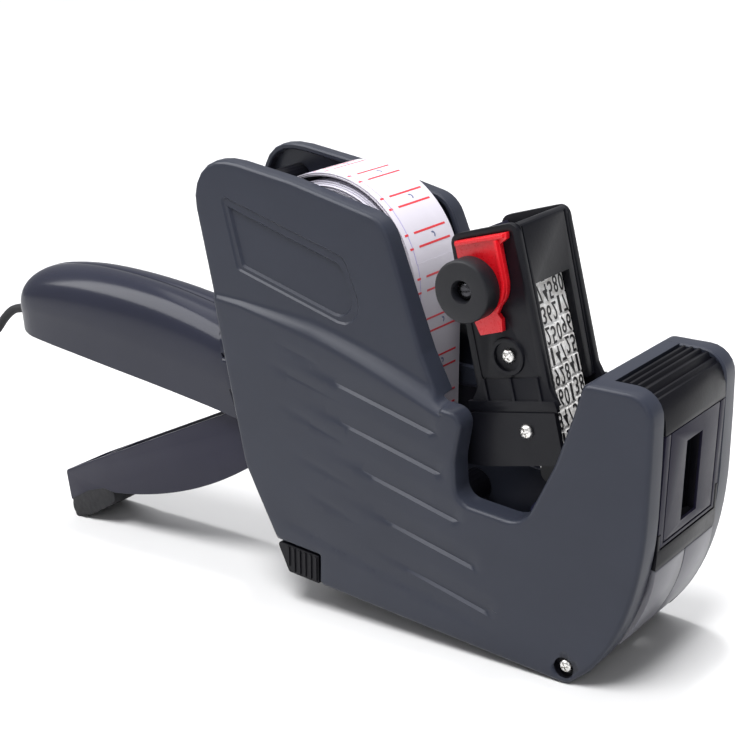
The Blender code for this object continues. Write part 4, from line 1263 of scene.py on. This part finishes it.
DIGIT_ROWS = ("285697", "174580", "436217", "025096", "714725")  # across all bands, from the top row down
DIGIT_ROWS += ("392841", "560138", "847362", "129504", "603871")
FIRST_DIGIT = 51.0  # where on the first band's loop the top row's middle lies
BELT_PITCH, BELT_HALF, BELT_THICK = 2.6, 1.22, 0.9
BLOCK_GAP = 0.22  # depth of the cuts between a band's blocks
DIGIT_PITCH = 5.45
DIGIT_SIZE = (4.6, 1.95)  # height and width
BAND_SHIFTS = (0.0, 0.1, -0.15, 0.1, 1.1, 1.0)  # how far each band has been turned past the first


def band_middle(k):
    """How far from the tool's middle plane a band's middle lies."""
    return (k - (BANDS - 1) / 2) * BELT_PITCH - 1.0


def band_digits(k):
    """The raised digits along one band, mirrored as type is, in a mesh of their own."""
    shapes = {text: digit(text, *DIGIT_SIZE) for text in "0123456789"}
    across = band_middle(k)
    bm = bmesh.new()
    for row, texts in enumerate(DIGIT_ROWS):
        places, faces = shapes[texts[k]]
        middle = FIRST_DIGIT + BAND_SHIFTS[k] - DIGIT_PITCH * row
        rows = []
        for out in (-0.05, 0.1):
            verts = []
            for p in places:
                place = belt_point(middle - p.y, out)
                verts.append(bm.verts.new((place.x, across + p.x, place.y)))
            rows.append(verts)
        shown = [bm.faces.new([verts[i] for i in f]) for verts in rows for f in faces]
        edges = {e for f in shown[len(faces) :] for e in f.edges if len(e.link_faces) == 1}
        number = {v: i for i, v in enumerate(rows[1])}
        for e in edges:
            a, b = (number[v] for v in e.verts)
            bm.faces.new((rows[0][a], rows[0][b], rows[1][b], rows[1][a]))
    return stands_for(add(f"band_digits_{k + 1}", bm, BLACK_INK, PRINT_HEAD, HEAD), "band_rubber")


def number_band(k):
    """One printing band: a loop of rubber in short blocks, one for each digit, on a thin backing."""
    across = band_middle(k)
    run = (Vector(BAND_TOP) - Vector(BAND_LOW)).length
    total = 2 * run + math.tau * BAND_RADIUS
    outline, inner = [], []
    steps = 400
    for i in range(steps):
        s = total * i / steps
        phase = ((s - FIRST_DIGIT - BAND_SHIFTS[k]) / DIGIT_PITCH) % 1
        gap = BLOCK_GAP if abs(phase - 0.5) < 0.05 else 0.0
        for made, out in ((outline, -gap), (inner, -BELT_THICK)):
            made.append(belt_point(s, out))
    bm = bmesh.new()
    low, high = across - BELT_HALF, across + BELT_HALF
    rows = [[bm.verts.new((p.x, y, p.y)) for p in line] for line, y in ((outline, low), (outline, high))]
    rows += [[bm.verts.new((p.x, y, p.y)) for p in line] for line, y in ((inner, high), (inner, low))]
    bridge(bm, [*rows, rows[0]])
    piece = add(f"number_belt_{k + 1}", bm, BAND_WHITE, PRINT_HEAD, HEAD)
    return stands_for(piece, "band_rubber", f"number_band_{k + 1}")


def make_head():
    for name, side in (("right", -1), ("left", 1)):
        plate = head_plate(f"head_{name}_side", side)
        stands_for(plate, "black_plastic", f"head_{name}_plate")
    head_channel()
    retainer()
    knob()
    for k in range(BANDS):
        number_band(k)
        band_digits(k)
    screw("head_plate_screw", HEAD_SCREW, -12.95, -1, PRINT_HEAD, HEAD, "head_screw", 3.0)
    screw("arm_plate_screw", in_head(*ARM_SCREW), -14.9, -1, PRINT_HEAD, TOOL, "arm_screw", 3.0)
    screw("nose_screw", APPLICATOR, -23.6, -1, CASING, TOOL, "applicator_screw", 5.5)
    screw("case_screw", UPPER_SCREW, 21.7, 1, CASING, TOOL, "upper_case_screw", 6.0)


# ---- label roll ---------------------------------------------------------------------------------


TAPE_START = math.radians(16)  # where the free tape leaves the roll's own surface
TAPE_LIFT, TAPE_THICK = 0.10, 0.10
FIRST_CUT = math.radians(76.1)  # where round the roll one of the cuts between labels lies
FREE_RUN = 58.0  # how far down the free tape the marks go
LINE_OFF = 1.95  # how far from a cut the red line on either side of it lies
# Across the tape: a red line's two ends and width, the same of its tick, and the edge line's sides.
RED_LINE, RED_TICK, EDGE_LINE = (-5.3, 8.6, 0.58), (-9.3, -7.8, 0.62), (-8.35, -8.08)


def roll_place(s, out, free):
    """A place on the tape's outer face: s mm back round the roll or, below zero, down the free run."""
    reach = ROLL_RADIUS + out + (TAPE_LIFT + TAPE_THICK if free else 0)
    if s < 0:
        return Vector((reach, ROLL[1] + s))
    a = s / ROLL_RADIUS
    return Vector((ROLL[0] + reach * math.cos(a), ROLL[1] + reach * math.sin(a)))


def wound_disc():
    """The wound tape: many thin layers whose edges stand out unevenly."""
    rng = np.random.default_rng(7)
    centre = (ROLL[0] + 0.4, ROLL[1] - 0.5)
    layers, steps = 52, 120
    radii = np.linspace(CORE_RADIUS, WOUND_RADIUS + 1.4, layers)
    heights = np.clip(np.cumsum(rng.normal(0, 0.13, layers)) * 0.5, -0.45, 0.45)
    heights += rng.uniform(-0.16, 0.16, layers)
    waves = rng.uniform(0, math.tau, (layers, 3))
    bm = bmesh.new()
    rows = []
    for side in (-1, 1):
        reach = TAPE_HALF + (0.85 if side < 0 else -0.3)
        order = range(layers) if side < 0 else reversed(range(layers))
        for k in order:
            row = []
            for i in range(steps):
                a = math.tau * i / steps
                wave = 0.16 * math.sin(a + waves[k][0]) + 0.10 * math.sin(3 * a + waves[k][1])
                y = side * (reach + (heights[k] + wave) * (1 if side < 0 else 0.3))
                p = (centre[0] + radii[k] * math.cos(a), centre[1] + radii[k] * math.sin(a))
                row.append(bm.verts.new((p[0], y, p[1])))
            rows.append(row)
    bridge(bm, [*rows, rows[0]])
    return add("wound_tape", bm, PAPER_EDGE, REEL, sharp=18)


def outer_turns():
    """The loose outer turns of the roll."""
    bm = bmesh.new()
    for radius, thick, half in ((0, 0.25, 0), (-0.45, 0.2, 0.25), (-0.85, 0.2, -0.15)):
        radius, half = ROLL_RADIUS + radius, TAPE_HALF + half
        section = [(radius - thick, -half), (radius, -half), (radius, half), (radius - thick, half)]
        rows = [[bm.verts.new((x, y, z)) for x, z in ring(ROLL, r, 144)] for r, y in section]
        bridge(bm, [*rows, rows[0]])
    return add("outer_turns", bm, PAPER, REEL)


def tape_strip():
    """The free tape: off the roll, down, round the guide, and along the platen and back."""
    thick, turn, peel = TAPE_THICK, 5.3, (85.5, TAPE_Z - 1.9)
    away = ROLL_RADIUS + TAPE_LIFT
    centre = ring(ROLL, away, 10, 16, -16) + [(away, GUIDE[1] + 20), (GUIDE[0] - turn, GUIDE[1] + 1)]
    centre += ring(GUIDE, turn, 14, 180, 90) + ring(peel, 1.8, 12, 90, -180) + [(56, peel[1] - 1.8)]
    line = resampled(centre, 2.0, closed=False)
    outer = []
    for i, p in enumerate(line):
        outer.append(p + square(heading(line, i)) * thick)
    piece = prism("tape_strip", line + outer[::-1], -TAPE_HALF, TAPE_HALF, PAPER, CASING)
    return stands_for(piece, "label_paper", "label_tape")


def print_marks(name, marks, body, look):
    """Printed marks on the tape: each is a polygon of (s, y) places, a hair above the paper."""
    bm = bmesh.new()
    for mark in marks:
        rows = []
        for out in (-0.02, 0.035):
            verts = []
            for s, y in mark:
                p = roll_place(s, out, body == CASING)
                verts.append(bm.verts.new((p.x, y, p.y)))
            rows.append(verts)
        for row in rows:
            bm.faces.new(row)
        bridge(bm, rows)
    return stands_for(add(name, bm, look, body), "label_paper")


def stripe(s, y0, y1, width):
    """A straight mark across the tape."""
    return [(s - width / 2, y0), (s + width / 2, y0), (s + width / 2, y1), (s - width / 2, y1)]


def comma(s, y):
    """The small curved cut between two labels."""
    outer = [(s + 0.95 * math.cos(a), y + 0.95 * math.sin(a)) for a in np.linspace(-0.4, 2.6, 9)]
    inner = [(s + 0.5 * math.cos(a), y + 0.5 * math.sin(a)) for a in np.linspace(2.6, -0.4, 9)]
    return [tuple(map(float, p)) for p in outer + inner]


def label_marks():
    """The labels' red end lines and ticks, the cut between two labels, and the line along one edge."""
    around = math.tau * ROLL_RADIUS
    labels = round(around / LABEL_PITCH)
    pitch = around / labels
    first = FIRST_CUT * ROLL_RADIUS % pitch
    seam = TAPE_START * ROLL_RADIUS
    for body, low, high in ((REEL, seam, around), (CASING, -FREE_RUN, seam)):
        where = "roll" if body == REEL else "tape"
        places = [first + pitch * k for k in range(-6, labels)]
        lines = [s + off for s in places for off in (-LINE_OFF, LINE_OFF)]
        lines = [s for s in lines if low + 0.3 < s < high - 0.3]
        red = [stripe(s, *mark) for mark in (RED_LINE, RED_TICK) for s in lines]
        print_marks(f"{where}_red_lines", red, body, RED_INK)
        cuts = [comma(s, 2.0) for s in places if low + 1 < s < high - 1]
        print_marks(f"{where}_cut_marks", cuts, body, MARK_INK)
        steps = 160 if body == REEL else 30
        step = (high - low) / steps
        edge = []
        for k in range(steps):
            s = low + step * k
            edge.append(box(s, s + step, *EDGE_LINE))
        print_marks(f"{where}_edge_line", edge, body, BLUE_INK)


def make_roll():
    stands_for(wound_disc(), "label_paper", "label_roll")
    stands_for(outer_turns(), "label_paper")
    tape_strip()
    label_marks()


# ---- the CAD nodes that stay --------------------------------------------------------------------

STEEL_KEPT = ("reel_axle", "lever_pivot_pin", "arm_pivot_pin", "link_pin", "guide_axle")
STEEL_KEPT += ("applicator_axle", "ink_pivot_pin", "peel_bar", "return_spring")
KEPT = {name: (STEEL, 0.0) for name in STEEL_KEPT}  # each with its look and how far its edges are rounded
KEPT |= {name: (BLACK, 0.3) for name in ("tie_bar", "bottom_cover", "guide_roller")}
KEPT |= {name: (BLACK, 0.3) for name in ("right_reel_hub", "left_reel_hub")}
KEPT |= {f"band_wheel_{k + 1}": (HEAD_BLACK, 0.15) for k in range(BANDS)}
KEPT |= {
    "print_arm": (HEAD_BLACK, 0.35),
    "platen": (BLACK, 0.2),
    "bottom_catch": (BLACK, 0.2),
    "band_foot": (HEAD_BLACK, 0.2),
    "band_shaft": (STEEL_PAINTED_SHADE, 0.0),
    "shaft_collar": (HEAD_BLACK, 0.1),
    "label_core": (CARD, 0.2),
    "feed_wheel": (BLACK, 0.15),
    "ink_holder": (BLACK, 0.4),
    "ink_roller": (FELT, 0.4),
}


def dress_kept():
    """Better materials for the CAD nodes that stay, with their edges rounded as moulding leaves them."""
    for name, (look, edge) in KEPT.items():
        node = frame["nodes"][name]
        node.data.materials.clear()
        node.data.materials.append(look)
        if edge:
            weld = node.modifiers.new("weld", "WELD")
            weld.merge_threshold = 1e-6
            bevel(node, edge, 2, 34)


# ---- floor and light ----------------------------------------------------------------------------


FLOOR_HALF = 6.0  # metres


def softbox(name, place, aim, size, power, only_glints=False):
    """A lit panel at a place, turned to what it lights; one only for glints adds no light elsewhere."""
    data = bpy.data.lights.new(name, "AREA")
    data.shape = "RECTANGLE"
    data.size, data.size_y = size
    data.energy = power
    lamp = link(name, data)
    back = (Vector(place) - Vector(aim)).normalized()
    lamp.matrix_world = Matrix.Translation(place) @ back.to_track_quat("Z", "Y").to_matrix().to_4x4()
    lamp.visible_diffuse = not only_glints


def daylight(name, towards, power, softness):
    """Even light over the whole floor from one direction, with soft shadows and no glint of its own."""
    data = bpy.data.lights.new(name, "SUN")
    data.energy = power
    data.angle = math.radians(softness)
    lamp = link(name, data)
    lamp.rotation_euler = Vector(towards).to_track_quat("Z", "Y").to_euler()
    lamp.visible_glossy = False


def make_stage():
    look = Look("floor_white", 0.55)
    look.colour((0.62, 0.62, 0.623), (0.645, 0.645, 0.648), look.noise(3, 2.0))
    look.rough(look.noise(40, 2.0), 0.5, 0.6)
    look.raise_by(look.noise(900, 2.0), 0.02, 0.2)
    bm = bmesh.new()
    bmesh.ops.create_grid(bm, x_segments=8, y_segments=8, size=FLOOR_HALF)
    mesh = bpy.data.meshes.new("floor")
    bm.to_mesh(mesh)
    bm.free()
    mesh.materials.append(look.made)
    floor = link("floor", mesh)
    world = bpy.data.worlds.new("studio")
    world.use_nodes = True
    background = world.node_tree.nodes["Background"]
    background.inputs["Color"].default_value = (0.96, 0.965, 1.0, 1)
    background.inputs["Strength"].default_value = 0.40
    bpy.context.scene.world = world
    bpy.context.scene.view_settings.view_transform = "Standard"
    middle = (0.0, 0.0, 0.06)
    daylight("overhead", (-0.06, 0.14, 1), 1.6, 7)
    daylight("high_front", (0.10, -0.34, 1), 3.2, 24)
    softbox("high_soft", (0.12, -0.40, 1.0), middle, (0.5, 0.5), 2.6)
    softbox("glints", (-0.62, -0.62, 0.92), middle, (0.9, 0.9), 21.0, only_glints=True)
    softbox("ceiling", (-0.1, 0.35, 1.5), middle, (1.6, 1.6), 13.0)
    softbox("front_right", (0.62, -0.80, 0.55), middle, (0.35, 0.45), 1.0)


place_camera()
make_strap()
make_covers()
make_frame()
make_trigger()
front_cover()
window_panel()
applicator_roller()
make_head()
make_roll()
dress_kept()
make_stage()
